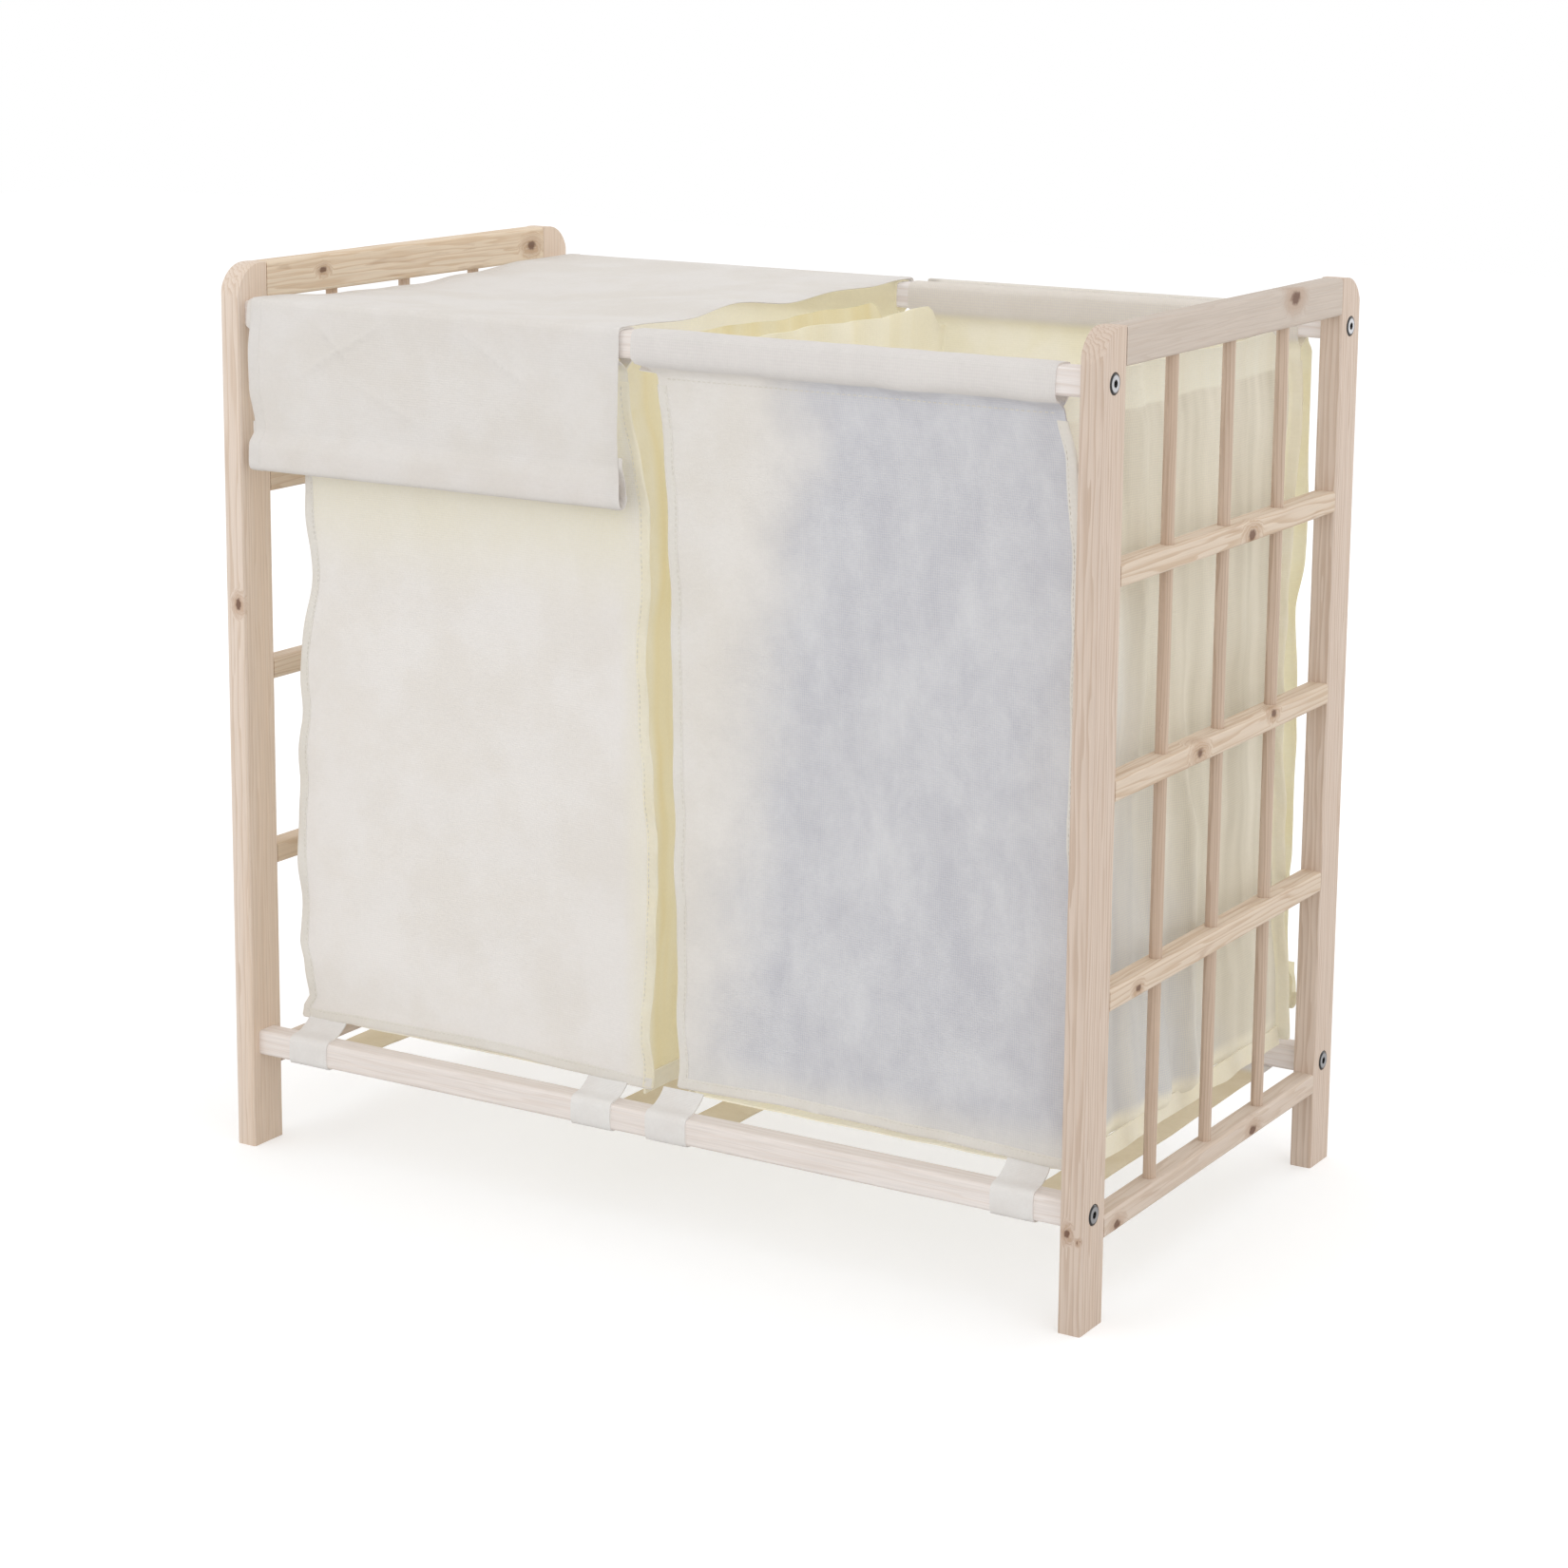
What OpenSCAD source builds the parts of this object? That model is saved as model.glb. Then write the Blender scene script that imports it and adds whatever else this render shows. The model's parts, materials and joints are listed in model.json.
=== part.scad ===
// Two-compartment laundry sorter: a bolted pine frame that carries two cloth bags with flap lids.
// Millimetres, +Z up, the front faces -Y. The origin is on the floor under the middle of the frame.

/* [Frame] */
// Overall width across the two side frames
width = 640; // [560:1:760]
// Overall depth from the front posts to the rear posts
depth = 376; // [330:1:430]
// Height of the posts
height = 600; // [560:1:720]

/* [Posts] */
// Thickness of the posts and side rails, across the width
post_t = 15; // [13:0.5:18]
// Width of a post, front to back
post_w = 30; // [26:0.5:40]
// Radius of the rounded head of a post
post_head_r = 23; // [8:0.5:25]
// Radius of the eased long edges of a post
post_edge_r = 1.5; // [0.5:0.1:3]

/* [Side rails] */
// Height of the top rail
top_rail_h = 24; // [20:0.5:32]
// Height of the other rails
rail_h = 14; // [12:0.5:18]
// Radius of the eased long edges of the rails
rail_edge_r = 2.2; // [0.5:0.1:4]
// Underside of the bottom rail above the floor
bottom_rail_z = 52; // [40:0.5:54]
// Underside of the lower middle rail above the floor
lower_rail_z = 192.5; // [150:0.5:220]
// Distance from one middle rail to the next
rail_pitch = 127.5; // [100:0.5:135]

/* [Spindles] */
// Diameter of the round spindles
spindle_d = 8; // [6:0.25:9]
// Depth of the spindle sockets in the top and bottom rails
spindle_socket = 9; // [5:0.5:11]

/* [Rail dowels] */
// Diameter of the hidden dowels that join rails to posts
dowel_d = 6; // [5:0.25:7]
// Length of a hidden dowel
dowel_l = 24; // [16:1:28]
// Distance between the two dowels at each end of a top rail
dowel_pair = 11; // [9:0.5:13]

/* [Cross bars] */
// Side of the square section of the cross bars
bar_s = 17; // [15:0.5:20]
// Radius of the eased long edges of the cross bars
bar_edge_r = 2.5; // [1:0.1:4]
// Distance from the top of the posts down to the middle of the top bars
top_bar_drop = 32; // [30:0.5:40]
// Height of the middle of the bottom bars above the floor
bottom_bar_z = 72; // [68:0.5:84]

/* [Bolts and inserts] */
// Diameter of the bolt shank
bolt_d = 6; // [5:0.25:7]
// Length of the bolt under its head
bolt_l = 36; // [30:1:45]
// Diameter of the bolt head
head_d = 12.5; // [11:0.25:14]
// Thickness of the bolt head
head_h = 2.6; // [2.2:0.1:3.5]
// Depth of the recess for the bolt head
recess_depth = 2; // [1:0.1:3]
// Width across the corners of the hexagon socket
socket_w = 4.6; // [4:0.1:5]
// Diameter of the threaded insert in a bar's end
insert_d = 9; // [8.5:0.25:10]
// Length of the threaded insert
insert_l = 15; // [10:0.5:18]

/* [Cloth] */
// Thickness of the cloth
cloth = 1; // [0.6:0.1:1.4]
// Width of the seam allowance that stands out along the panel edges
seam_w = 9; // [6:0.5:10]

/* [Bags] */
// Gap between the left side frame and the left bag's panels
left_bag_gap = 23; // [21:0.5:40]
// Gap between the right side frame and the right bag's panels
right_bag_gap = 2; // [1:0.5:20]
// Gap between the panels of the two bags
bag_gap = 5; // [2:0.5:20]
// How far the left bag's casings are pushed left of its panels
left_casing_push = 20; // [16:0.5:21]
// How far the right bag's casings are pushed left of its panels
right_casing_push = 15.5; // [8:0.5:18]
// Height of the underside of a bag above the floor
bag_floor_z = 90; // [89:0.5:110]
// Distance from the underside of the top bar's middle down to the free top edge of a side wall
wall_drop = 3; // [2:0.5:20]
// How much each face of a bag leans in from the casing to the floor
bag_lean = 11; // [8:0.5:14]

/* [Straps] */
// Width of a strap
strap_w = 30; // [20:1:40]
// Distance from the left bag's left wall to the middle of its outer strap
left_outer_inset = 9; // [6:0.5:14]
// Distance from the left bag's right wall to the middle of its inner strap
left_inner_inset = 33; // [26:0.5:40]
// Distance from the right bag's left wall to the middle of its inner strap
right_inner_inset = 1.5; // [1:0.5:6]
// Distance from the right bag's right wall to the middle of its outer strap
right_outer_inset = 25.5; // [20:0.5:32]

/* [Lids] */
// How much narrower a lid is than the casing it is sewn to
lid_ease = 2; // [0:0.5:12]
// How far the left lid sits right of its casing's middle
left_lid_shift = 2; // [0:0.5:4]
// How far the right lid sits right of its casing's middle
right_lid_shift = 3.5; // [0:0.5:5]
// Gap between the lower edge of an open lid and the rear bottom bar
open_lid_gap = 18.9; // [12:0.1:30]
// Height of the hem tunnel along the flap's lower edge
hem_h = 26; // [22:0.5:32]
// Front to back size of the hem tunnel
hem_t = 10; // [9:0.5:12]
// Height of the wooden slat in the hem
slat_h = 15; // [12:0.5:18]
// Thickness of the wooden slat
slat_t = 6; // [4:0.5:6.5]
// How far each end of the slat stops short of the lid's edge
slat_inset = 2; // [1:0.5:10]

/* [Hidden] */
$fn = 48;
glue_gap = 0.05;     // round glued and screwed joints
cloth_gap = 0.3;     // cloth to wood and cloth to cloth
head_gap = 0.45;     // round a bolt head in its recess
pilot_gap = 0.4;     // round the bolt's end behind the insert
cut = 1;             // how far a cutter runs past the face it opens
flange_below = 6;    // how far the front and rear panels hang below the bag's floor
socket_floor = 0.8;  // metal left under the hexagon socket
slat_edge_r = 2;     // eased edges of the slat

pine = [0.86, 0.78, 0.68];
spindle_wood = [0.82, 0.70, 0.58];
zinc = [0.62, 0.63, 0.65];
brass = [0.80, 0.68, 0.38];
cream = [0.93, 0.91, 0.83];
webbing = [0.88, 0.86, 0.78];

x_out = width / 2;                       // outer face of a side frame
x_in = x_out - post_t;                   // inner face of a side frame
x_mid = x_out - post_t / 2;
y_out = depth / 2;                       // outer face of a post
y_in = y_out - post_w;                   // face of a post that its rails meet
y_bar = y_out - post_w / 2;              // middle of the cross bars and of the bolts
top_rail_z = height - top_rail_h;
rail_len = 2 * y_in;
spindle_gap = (rail_len - 3 * spindle_d) / 4;
spindle_y = spindle_gap + spindle_d;     // outer spindles, front and back of the middle one
mid_rails = [for (i = [0 : 2]) lower_rail_z + i * rail_pitch];
single_dowel_z = [for (z = concat([bottom_rail_z], mid_rails)) z + rail_h / 2];
pair_dowel_z = [for (s = [-1, 1]) top_rail_z + top_rail_h / 2 + s * dowel_pair / 2];
dowel_z = concat(single_dowel_z, pair_dowel_z);
top_bar_z = height - top_bar_drop;
bar_z = [bottom_bar_z, top_bar_z];
insert_mouth = insert_d / 2 + glue_gap;

// Sections of the cloth that wraps a bar
wrap_in = bar_s + 2 * cloth_gap;
wrap_out = wrap_in + 2 * cloth;
wrap_in_r = bar_edge_r + cloth_gap;
wrap_out_r = wrap_in_r + cloth;
wrap_reach = wrap_out / 2;               // from a bar's middle to the outside of its casing

// Bag
panel_w = (2 * x_in - left_bag_gap - bag_gap - right_bag_gap) / 2;
bag_w = panel_w - 2 * seam_w;            // between the outer faces of the side walls
left_bag_x = -x_in + left_bag_gap + panel_w / 2;
right_bag_x = x_in - right_bag_gap - panel_w / 2;
left_casing_x = left_bag_x - left_casing_push;
right_casing_x = right_bag_x - right_casing_push;
shoulder_z = top_bar_z - wrap_reach - cloth_gap;  // just under the casings
panel_top_z = top_bar_z - wrap_reach + cloth / 2;
panel_top_y = y_bar + cloth;             // outer face of the front and rear panels under the casing
panel_low_y = panel_top_y - bag_lean;
panel_low_z = bag_floor_z - flange_below;
wall_top_z = top_bar_z - wall_drop;
wall_top_y = y_bar - wrap_reach - cloth_gap;

// Straps
left_outer_strap_x = left_bag_x - bag_w / 2 + left_outer_inset;
left_inner_strap_x = left_bag_x + bag_w / 2 - left_inner_inset;
right_inner_strap_x = right_bag_x - bag_w / 2 + right_inner_inset;
right_outer_strap_x = right_bag_x + bag_w / 2 - right_outer_inset;

// Lid: the hinge lines lie where the cloth turns over the outer edge of each casing
lid_y = y_bar + wrap_reach + cloth_gap + cloth / 2;
lid_z = top_bar_z + wrap_reach + cloth_gap + cloth / 2;
lid_w = panel_w - lid_ease;
left_lid_x = left_casing_x + left_lid_shift;
right_lid_x = right_casing_x + right_lid_shift;
flap_l = lid_z - 2 * lid_y - bottom_bar_z - bar_s / 2 - open_lid_gap;
flap_top_gap = cloth / 2 + cloth_gap;
hem_low_z = lid_z - flap_l;
hem_r = (hem_t - cloth) / 2;

// ---- Helpers ----

// Rectangle with round corners, centred on the origin
module round_rect(w, h, r) {
    square([w, h - 2 * r], center = true);
    square([w - 2 * r, h], center = true);
    for (x = [-1, 1], y = [-1, 1])
        translate([x * (w / 2 - r), y * (h / 2 - r)]) circle(r);
}

// Extrudes an outline drawn as (Y, Z) along X, from x0
module along_x(x0, len) {
    translate([x0, 0, 0]) rotate([90, 0, 90]) linear_extrude(len) children();
}

// Extrudes an outline drawn as (X, Z) along Y, centred on the middle of the frame
module along_y(len) {
    translate([0, len / 2, 0]) rotate([90, 0, 0]) linear_extrude(len) children();
}

module mirror_x() {
    mirror([1, 0, 0]) children();
}

module mirror_y() {
    mirror([0, 1, 0]) children();
}

module rod_x(r, x0, x1, y, z) {
    translate([x0, y, z]) rotate([0, 90, 0]) cylinder(r = r, h = x1 - x0);
}

module rod_y(r, y0, y1, x, z) {
    translate([x, y1, z]) rotate([90, 0, 0]) cylinder(r = r, h = y1 - y0);
}

// ---- Side frame, drawn as the right rear quarter and mirrored from there ----

module post_outline() {
    translate([y_in, 0]) square([post_w, height - post_head_r]);
    translate([y_in, 0]) square([post_w - post_head_r, height]);
    translate([y_out - post_head_r, height - post_head_r]) circle(post_head_r);
}

// The outline's head circle is wider than the post, so the plan section trims it
module post_blank() {
    intersection() {
        along_x(x_in, post_t) post_outline();
        translate([x_mid, y_bar, 0]) linear_extrude(height) round_rect(post_t, post_w, post_edge_r);
    }
}

module post() {
    color(pine) difference() {
        post_blank();
        for (z = bar_z) {
            rod_x(bolt_d / 2 + pilot_gap, x_in - cut, x_out, y_bar, z);
            rod_x(head_d / 2 + head_gap, x_out - recess_depth, x_out + cut, y_bar, z);
        }
        for (z = dowel_z)
            rod_y(dowel_d / 2 + glue_gap, y_in - cut, y_in + dowel_l / 2, x_mid, z);
    }
}

// A rail between the two posts, with a dowel hole in each end at every height in holes
module rail_blank(z0, h, holes) {
    difference() {
        translate([x_mid, 0, z0 + h / 2]) along_y(rail_len) round_rect(post_t, h, rail_edge_r);
        for (s = [0, 1], z = holes)
            mirror([0, s, 0])
                rod_y(dowel_d / 2 + glue_gap, y_in - dowel_l / 2, y_in + cut, x_mid, z);
    }
}

// Vertical holes for the three spindles between heights z0 and z1
module spindle_holes(z0, z1) {
    for (i = [-1 : 1])
        translate([x_mid, i * spindle_y, z0])
            cylinder(d = spindle_d + 2 * glue_gap, h = z1 - z0);
}

module top_rail() {
    color(pine) difference() {
        rail_blank(top_rail_z, top_rail_h, pair_dowel_z);
        spindle_holes(top_rail_z - cut, top_rail_z + spindle_socket);
    }
}

module mid_rail(i) {
    color(pine) difference() {
        rail_blank(mid_rails[i], rail_h, [mid_rails[i] + rail_h / 2]);
        spindle_holes(mid_rails[i] - cut, mid_rails[i] + rail_h + cut);
    }
}

module bottom_rail() {
    color(pine) difference() {
        rail_blank(bottom_rail_z, rail_h, [bottom_rail_z + rail_h / 2]);
        spindle_holes(bottom_rail_z + rail_h - spindle_socket, bottom_rail_z + rail_h + cut);
    }
}

// A spindle runs through the middle rails and ends in a socket above and below
module spindle(i) {
    z0 = bottom_rail_z + rail_h - spindle_socket;
    z1 = top_rail_z + spindle_socket;
    color(spindle_wood)
        translate([x_mid, i * spindle_y, z0]) cylinder(d = spindle_d, h = z1 - z0);
}

module rail_dowels() {
    color(spindle_wood)
        for (s = [0, 1], z = dowel_z)
            mirror([0, s, 0])
                rod_y(dowel_d / 2, y_in - dowel_l / 2, y_in + dowel_l / 2, x_mid, z);
}

// One bolt lies along X, with its head in the recess of the post
module bolt(z) {
    head_x = x_out - recess_depth;
    rim = head_h / 3;
    translate([head_x, y_bar, z]) difference() {
        rotate([0, 90, 0]) union() {
            rotate_extrude() polygon([
                [0, 0], [head_d / 2, 0], [head_d / 2, head_h - rim], [head_d / 2 - rim, head_h],
                [0, head_h]
            ]);
            translate([0, 0, -bolt_l]) cylinder(d = bolt_d, h = bolt_l);
        }
        translate([socket_floor, 0, 0]) rotate([0, 90, 0])
            cylinder(d = socket_w, h = head_h, $fn = 6);
    }
}

module bolts() {
    color(zinc)
        for (s = [0, 1], z = bar_z)
            mirror([0, s, 0]) bolt(z);
}

module insert(z) {
    difference() {
        rod_x(insert_d / 2, x_in - insert_l, x_in, y_bar, z);
        rod_x(bolt_d / 2 + glue_gap, x_in - insert_l - cut, x_in + cut, y_bar, z);
    }
}

module inserts() {
    color(brass)
        for (s = [0, 1], z = bar_z)
            mirror([0, s, 0]) insert(z);
}

// ---- Cross bars ----

// Each end is bored for its insert, and deeper for the end of the bolt
module bar(z) {
    bore_x = x_out - recess_depth - bolt_l - cut;
    color(pine) difference() {
        along_x(-x_in, 2 * x_in) translate([y_bar, z]) round_rect(bar_s, bar_s, bar_edge_r);
        for (s = [0, 1])
            mirror([s, 0, 0]) {
                rod_x(insert_mouth, x_in - insert_l, x_in + cut, y_bar, z);
                rod_x(bolt_d / 2 + pilot_gap, bore_x, x_in, y_bar, z);
            }
    }
}

// ---- Bags ----

// Outer face of a leaning panel at height z
function face_y(z) =
    panel_top_y - bag_lean * (panel_top_z - z) / (panel_top_z - panel_low_z);

module casing(x) {
    along_x(x - panel_w / 2, panel_w) translate([y_bar, top_bar_z]) difference() {
        round_rect(wrap_out, wrap_out, wrap_out_r);
        round_rect(wrap_in, wrap_in, wrap_in_r);
    }
}

// The front or rear panel, with its seam allowance on both sides and below
// The corner that leaves its own casing is cut off under the casing next to it
module bag_panel(x, casing_x) {
    difference() {
        along_x(x - panel_w / 2, panel_w) polygon([
            [face_y(panel_top_z) - cloth, panel_top_z], [face_y(panel_top_z), panel_top_z],
            [face_y(panel_low_z), panel_low_z], [face_y(panel_low_z) - cloth, panel_low_z]
        ]);
        translate([casing_x + panel_w / 2, 0, shoulder_z]) cube([panel_w, depth, bar_s]);
    }
}

// Outline of a side wall: it meets both panels, and its top edge hangs between the casings
module wall_outline() {
    base_y = face_y(bag_floor_z) - cloth / 2;
    top_y = face_y(panel_top_z) - cloth / 2;
    polygon([
        [-base_y, bag_floor_z], [base_y, bag_floor_z], [top_y, shoulder_z],
        [wall_top_y, shoulder_z], [wall_top_y, wall_top_z],
        [-wall_top_y, wall_top_z], [-wall_top_y, shoulder_z], [-top_y, shoulder_z]
    ]);
}

// Side wall, floor and side wall are one strip of cloth
module gusset(x) {
    inner_w = bag_w - 2 * cloth;
    difference() {
        along_x(x - bag_w / 2, bag_w) wall_outline();
        translate([x - inner_w / 2, -depth / 2, bag_floor_z + cloth]) cube([inner_w, depth, height]);
    }
}

module bag(x, casing_x) {
    color(cream) union() {
        gusset(x);
        for (s = [0, 1])
            mirror([0, s, 0]) {
                bag_panel(x, casing_x);
                casing(casing_x);
            }
    }
}

// ---- Straps ----

// From the bag's lower seam a strap goes over the bar, down its face and back under the bag
module strap_end() {
    under_z = bottom_bar_z - wrap_reach;
    seam_y = face_y(panel_low_z) + cloth_gap;
    seam_z = panel_low_z + cloth;
    lift = cloth / 2;
    top_z = bottom_bar_z + wrap_reach;
    difference() {
        translate([y_bar, bottom_bar_z]) round_rect(wrap_out, wrap_out, wrap_out_r);
        translate([y_bar, bottom_bar_z]) round_rect(wrap_in, wrap_in, wrap_in_r);
        translate([y_bar - bar_s, bottom_bar_z - bar_s]) square([bar_s, 2 * bar_s]);
    }
    translate([0, under_z]) square([y_bar, cloth]);
    polygon([
        [y_bar, top_z - cloth], [y_bar, top_z],
        [seam_y + lift, seam_z + lift], [seam_y, seam_z - lift]
    ]);
}

module strap(x) {
    color(webbing)
        along_x(x - strap_w / 2, strap_w) {
            strap_end();
            mirror([1, 0]) strap_end();
        }
}

// ---- Lids, drawn closed and turned to their own place ----

// Turns a closed lid about its rear hinge line until it hangs behind the bag
module hang_behind() {
    translate([0, lid_y, lid_z]) rotate([90, 0, 0]) translate([0, -lid_y, -lid_z]) children();
}

// Turns a flap about the front fold until it lies in the plane of the lid
module flap_straight() {
    translate([0, -lid_y, lid_z]) rotate([-90, 0, 0]) translate([0, lid_y, -lid_z]) children();
}

module lid_panel(x) {
    front_y = -lid_y + flap_top_gap;
    color(cream) union() {
        rod_x(cloth / 2, x - lid_w / 2, x + lid_w / 2, lid_y, lid_z);
        translate([x - lid_w / 2, front_y, lid_z - cloth / 2]) cube([lid_w, lid_y - front_y, cloth]);
    }
}

module flap(x) {
    hem_mid_z = hem_low_z + hem_h / 2;
    color(cream) union() {
        rod_x(cloth / 2, x - lid_w / 2, x + lid_w / 2, -lid_y, lid_z);
        translate([x - lid_w / 2, -lid_y - cloth / 2, hem_low_z + hem_h - cloth])
            cube([lid_w, cloth, flap_l - hem_h + cloth]);
        along_x(x - lid_w / 2, lid_w) translate([-lid_y, hem_mid_z]) difference() {
            round_rect(hem_t, hem_h, hem_r);
            round_rect(hem_t - 2 * cloth, hem_h - 2 * cloth, hem_r - cloth);
        }
    }
}

module slat(x) {
    low_z = hem_low_z + cloth + cloth_gap;
    color(spindle_wood)
        along_x(x - lid_w / 2 + slat_inset, lid_w - 2 * slat_inset)
            translate([-lid_y, low_z + slat_h / 2]) round_rect(slat_t, slat_h, slat_edge_r);
}

// ---- Nodes ----

mirror_x() mirror_y() post();  // left_front_post
mirror_x() post();  // left_rear_post
mirror_x() top_rail();  // left_top_rail
mirror_x() mid_rail(2);  // left_upper_rail
mirror_x() mid_rail(1);  // left_middle_rail
mirror_x() mid_rail(0);  // left_lower_rail
mirror_x() bottom_rail();  // left_bottom_rail
mirror_x() spindle(-1);  // left_front_spindle
mirror_x() spindle(0);  // left_middle_spindle
mirror_x() spindle(1);  // left_rear_spindle
mirror_x() rail_dowels();  // left_rail_dowels
mirror_x() bolts();  // left_bolts
mirror_x() inserts();  // left_inserts
mirror_y() post();  // right_front_post
post();  // right_rear_post
top_rail();  // right_top_rail
mid_rail(2);  // right_upper_rail
mid_rail(1);  // right_middle_rail
mid_rail(0);  // right_lower_rail
bottom_rail();  // right_bottom_rail
spindle(-1);  // right_front_spindle
spindle(0);  // right_middle_spindle
spindle(1);  // right_rear_spindle
rail_dowels();  // right_rail_dowels
bolts();  // right_bolts
inserts();  // right_inserts
mirror_y() bar(top_bar_z);  // front_top_bar
bar(top_bar_z);  // rear_top_bar
mirror_y() bar(bottom_bar_z);  // front_bottom_bar
bar(bottom_bar_z);  // rear_bottom_bar
bag(left_bag_x, left_casing_x);  // left_bag
strap(left_outer_strap_x);  // left_outer_strap
strap(left_inner_strap_x);  // left_inner_strap
bag(right_bag_x, right_casing_x);  // right_bag
strap(right_inner_strap_x);  // right_inner_strap
strap(right_outer_strap_x);  // right_outer_strap
lid_panel(left_lid_x);  // left_lid
flap(left_lid_x);  // left_flap
slat(left_lid_x);  // left_slat
hang_behind() lid_panel(right_lid_x);  // right_lid
hang_behind() flap_straight() flap(right_lid_x);  // right_flap
hang_behind() flap_straight() slat(right_lid_x);  // right_slat
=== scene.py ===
import json
import math
import random

import bpy
import numpy as np
from mathutils import Euler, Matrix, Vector


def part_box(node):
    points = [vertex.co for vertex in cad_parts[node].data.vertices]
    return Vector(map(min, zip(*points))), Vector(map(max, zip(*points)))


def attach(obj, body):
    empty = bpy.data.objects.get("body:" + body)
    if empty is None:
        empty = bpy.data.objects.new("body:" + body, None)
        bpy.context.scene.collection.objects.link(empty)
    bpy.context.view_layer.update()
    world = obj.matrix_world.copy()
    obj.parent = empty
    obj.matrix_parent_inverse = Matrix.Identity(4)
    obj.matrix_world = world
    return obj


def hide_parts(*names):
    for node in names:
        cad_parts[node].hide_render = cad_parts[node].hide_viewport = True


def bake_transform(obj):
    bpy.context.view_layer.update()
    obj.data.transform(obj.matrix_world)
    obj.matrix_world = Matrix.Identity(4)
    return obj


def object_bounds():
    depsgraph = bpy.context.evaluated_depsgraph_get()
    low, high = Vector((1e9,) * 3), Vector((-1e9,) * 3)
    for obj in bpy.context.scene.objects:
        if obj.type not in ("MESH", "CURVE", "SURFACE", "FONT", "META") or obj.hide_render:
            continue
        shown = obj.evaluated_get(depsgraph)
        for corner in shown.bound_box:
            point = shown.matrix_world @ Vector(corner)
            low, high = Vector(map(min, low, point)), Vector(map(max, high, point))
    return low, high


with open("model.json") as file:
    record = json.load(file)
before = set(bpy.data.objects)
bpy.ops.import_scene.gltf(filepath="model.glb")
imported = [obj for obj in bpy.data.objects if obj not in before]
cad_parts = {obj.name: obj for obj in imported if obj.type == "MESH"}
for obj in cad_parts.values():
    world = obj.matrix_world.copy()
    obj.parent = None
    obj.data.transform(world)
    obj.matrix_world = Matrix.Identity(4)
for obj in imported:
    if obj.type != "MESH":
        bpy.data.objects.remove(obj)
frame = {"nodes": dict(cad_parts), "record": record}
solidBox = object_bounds()
bothFaces = ("front", "rear")
sharpEdge = math.radians(60)


# small tools for shapes

def eased(t):
    t = np.clip(t, 0.0, 1.0)
    return t * t * (3 - 2 * t)


def mixed(a, b, t):
    return a + (b - a) * t


# a short way to place a node, set its values and link its inputs
def put(tree, kind, values=None, links=None, **settings):
    node = tree.nodes.new(kind)
    for key, value in settings.items():
        setattr(node, key, value)
    for key, value in (values or {}).items():
        node.inputs[key].default_value = value
    for key, value in (links or {}).items():
        tree.links.new(value, node.inputs[key])
    return node


# a smooth curve through (place, value) pairs, flat beyond both ends
def profile(pairs):
    pairs = sorted(pairs)
    places = np.array([p for p, _ in pairs], float)
    values = np.array([v for _, v in pairs], float)

    def at(x):
        x = np.asarray(x, float)
        i = np.clip(np.searchsorted(places, x) - 1, 0, len(places) - 2)
        t = eased((x - places[i]) / (places[i + 1] - places[i]))
        return mixed(values[i], values[i + 1], t)
    return at


# soft waves in cloth: across and along say how fast they change in each direction, 0 is not at all
def waves(seed, length, height, across=1.0, along=1.0, count=9):
    rng = random.Random(seed)
    parts = []
    for _ in range(count):
        turn = rng.uniform(0, math.tau)
        pace = math.tau / (length * rng.uniform(0.65, 1.5))
        parts.append((math.cos(turn) * pace * across, math.sin(turn) * pace * along,
                      rng.uniform(0, math.tau), height * rng.uniform(0.5, 1.2) / count ** 0.5))

    def at(a, b):
        return sum(h * np.sin(ka * a + kb * b + start) for ka, kb, start, h in parts)
    return at


# a pressed fold line between two places on the flat cloth: a sharp ridge that fades at both ends
def crease(start, end, width, height):
    start, end = np.array(start, float), np.array(end, float)
    line = end - start
    length = float(np.hypot(*line))
    line = line / length

    def at(a, b):
        along = (a - start[0]) * line[0] + (b - start[1]) * line[1]
        side = -(a - start[0]) * line[1] + (b - start[1]) * line[0]
        fade = eased(along / (0.25 * length)) * eased((length - along) / (0.25 * length))
        return height * np.exp(-np.abs(side) / width) * fade
    return at


# the length of a path up to each of its points
def lengthAlong(path):
    return np.concatenate([[0], np.cumsum(np.hypot(*np.diff(path, axis=0).T))])


def placed(name, data):
    item = bpy.data.objects.new(name, data)
    bpy.context.scene.collection.objects.link(item)
    return item


# turns what the modifiers make into the object's own mesh, with sharp edges kept sharp
def bake(item):
    bpy.context.view_layer.update()
    plain = bpy.data.meshes.new_from_object(
        item.evaluated_get(bpy.context.evaluated_depsgraph_get()))
    item.modifiers.clear()
    plain.set_sharp_from_angle(angle=sharpEdge)
    old, item.data = item.data, plain
    plain.name = item.name
    bpy.data.meshes.remove(old)
    return item


# cloth of a real thickness over a grid of points; uvs are metres on the flat cloth
def thickCloth(name, grid, uvs, thickness, flip):
    rows, columns = grid.shape[:2]
    corners = [i * columns + j for i in range(rows - 1) for j in range(columns - 1)]
    faces = [(a, a + 1, a + columns + 1, a + columns) for a in corners]
    if flip:
        faces = [face[::-1] for face in faces]
    mesh = bpy.data.meshes.new(name)
    mesh.from_pydata(grid.reshape(-1, 3).tolist(), [], faces)
    layer = mesh.uv_layers.new(name="cloth")
    corner = np.empty(len(mesh.loops), int)
    mesh.loops.foreach_get("vertex_index", corner)
    layer.data.foreach_set("uv", uvs.reshape(-1, 2)[corner].ravel().astype(np.float32))
    mesh.update()
    mesh.polygons.foreach_set("use_smooth", [True] * len(mesh.polygons))
    sheet = placed(name, mesh)
    thick = sheet.modifiers.new("thickness", "SOLIDIFY")
    thick.thickness, thick.offset = thickness, 0
    return bake(sheet)


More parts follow.
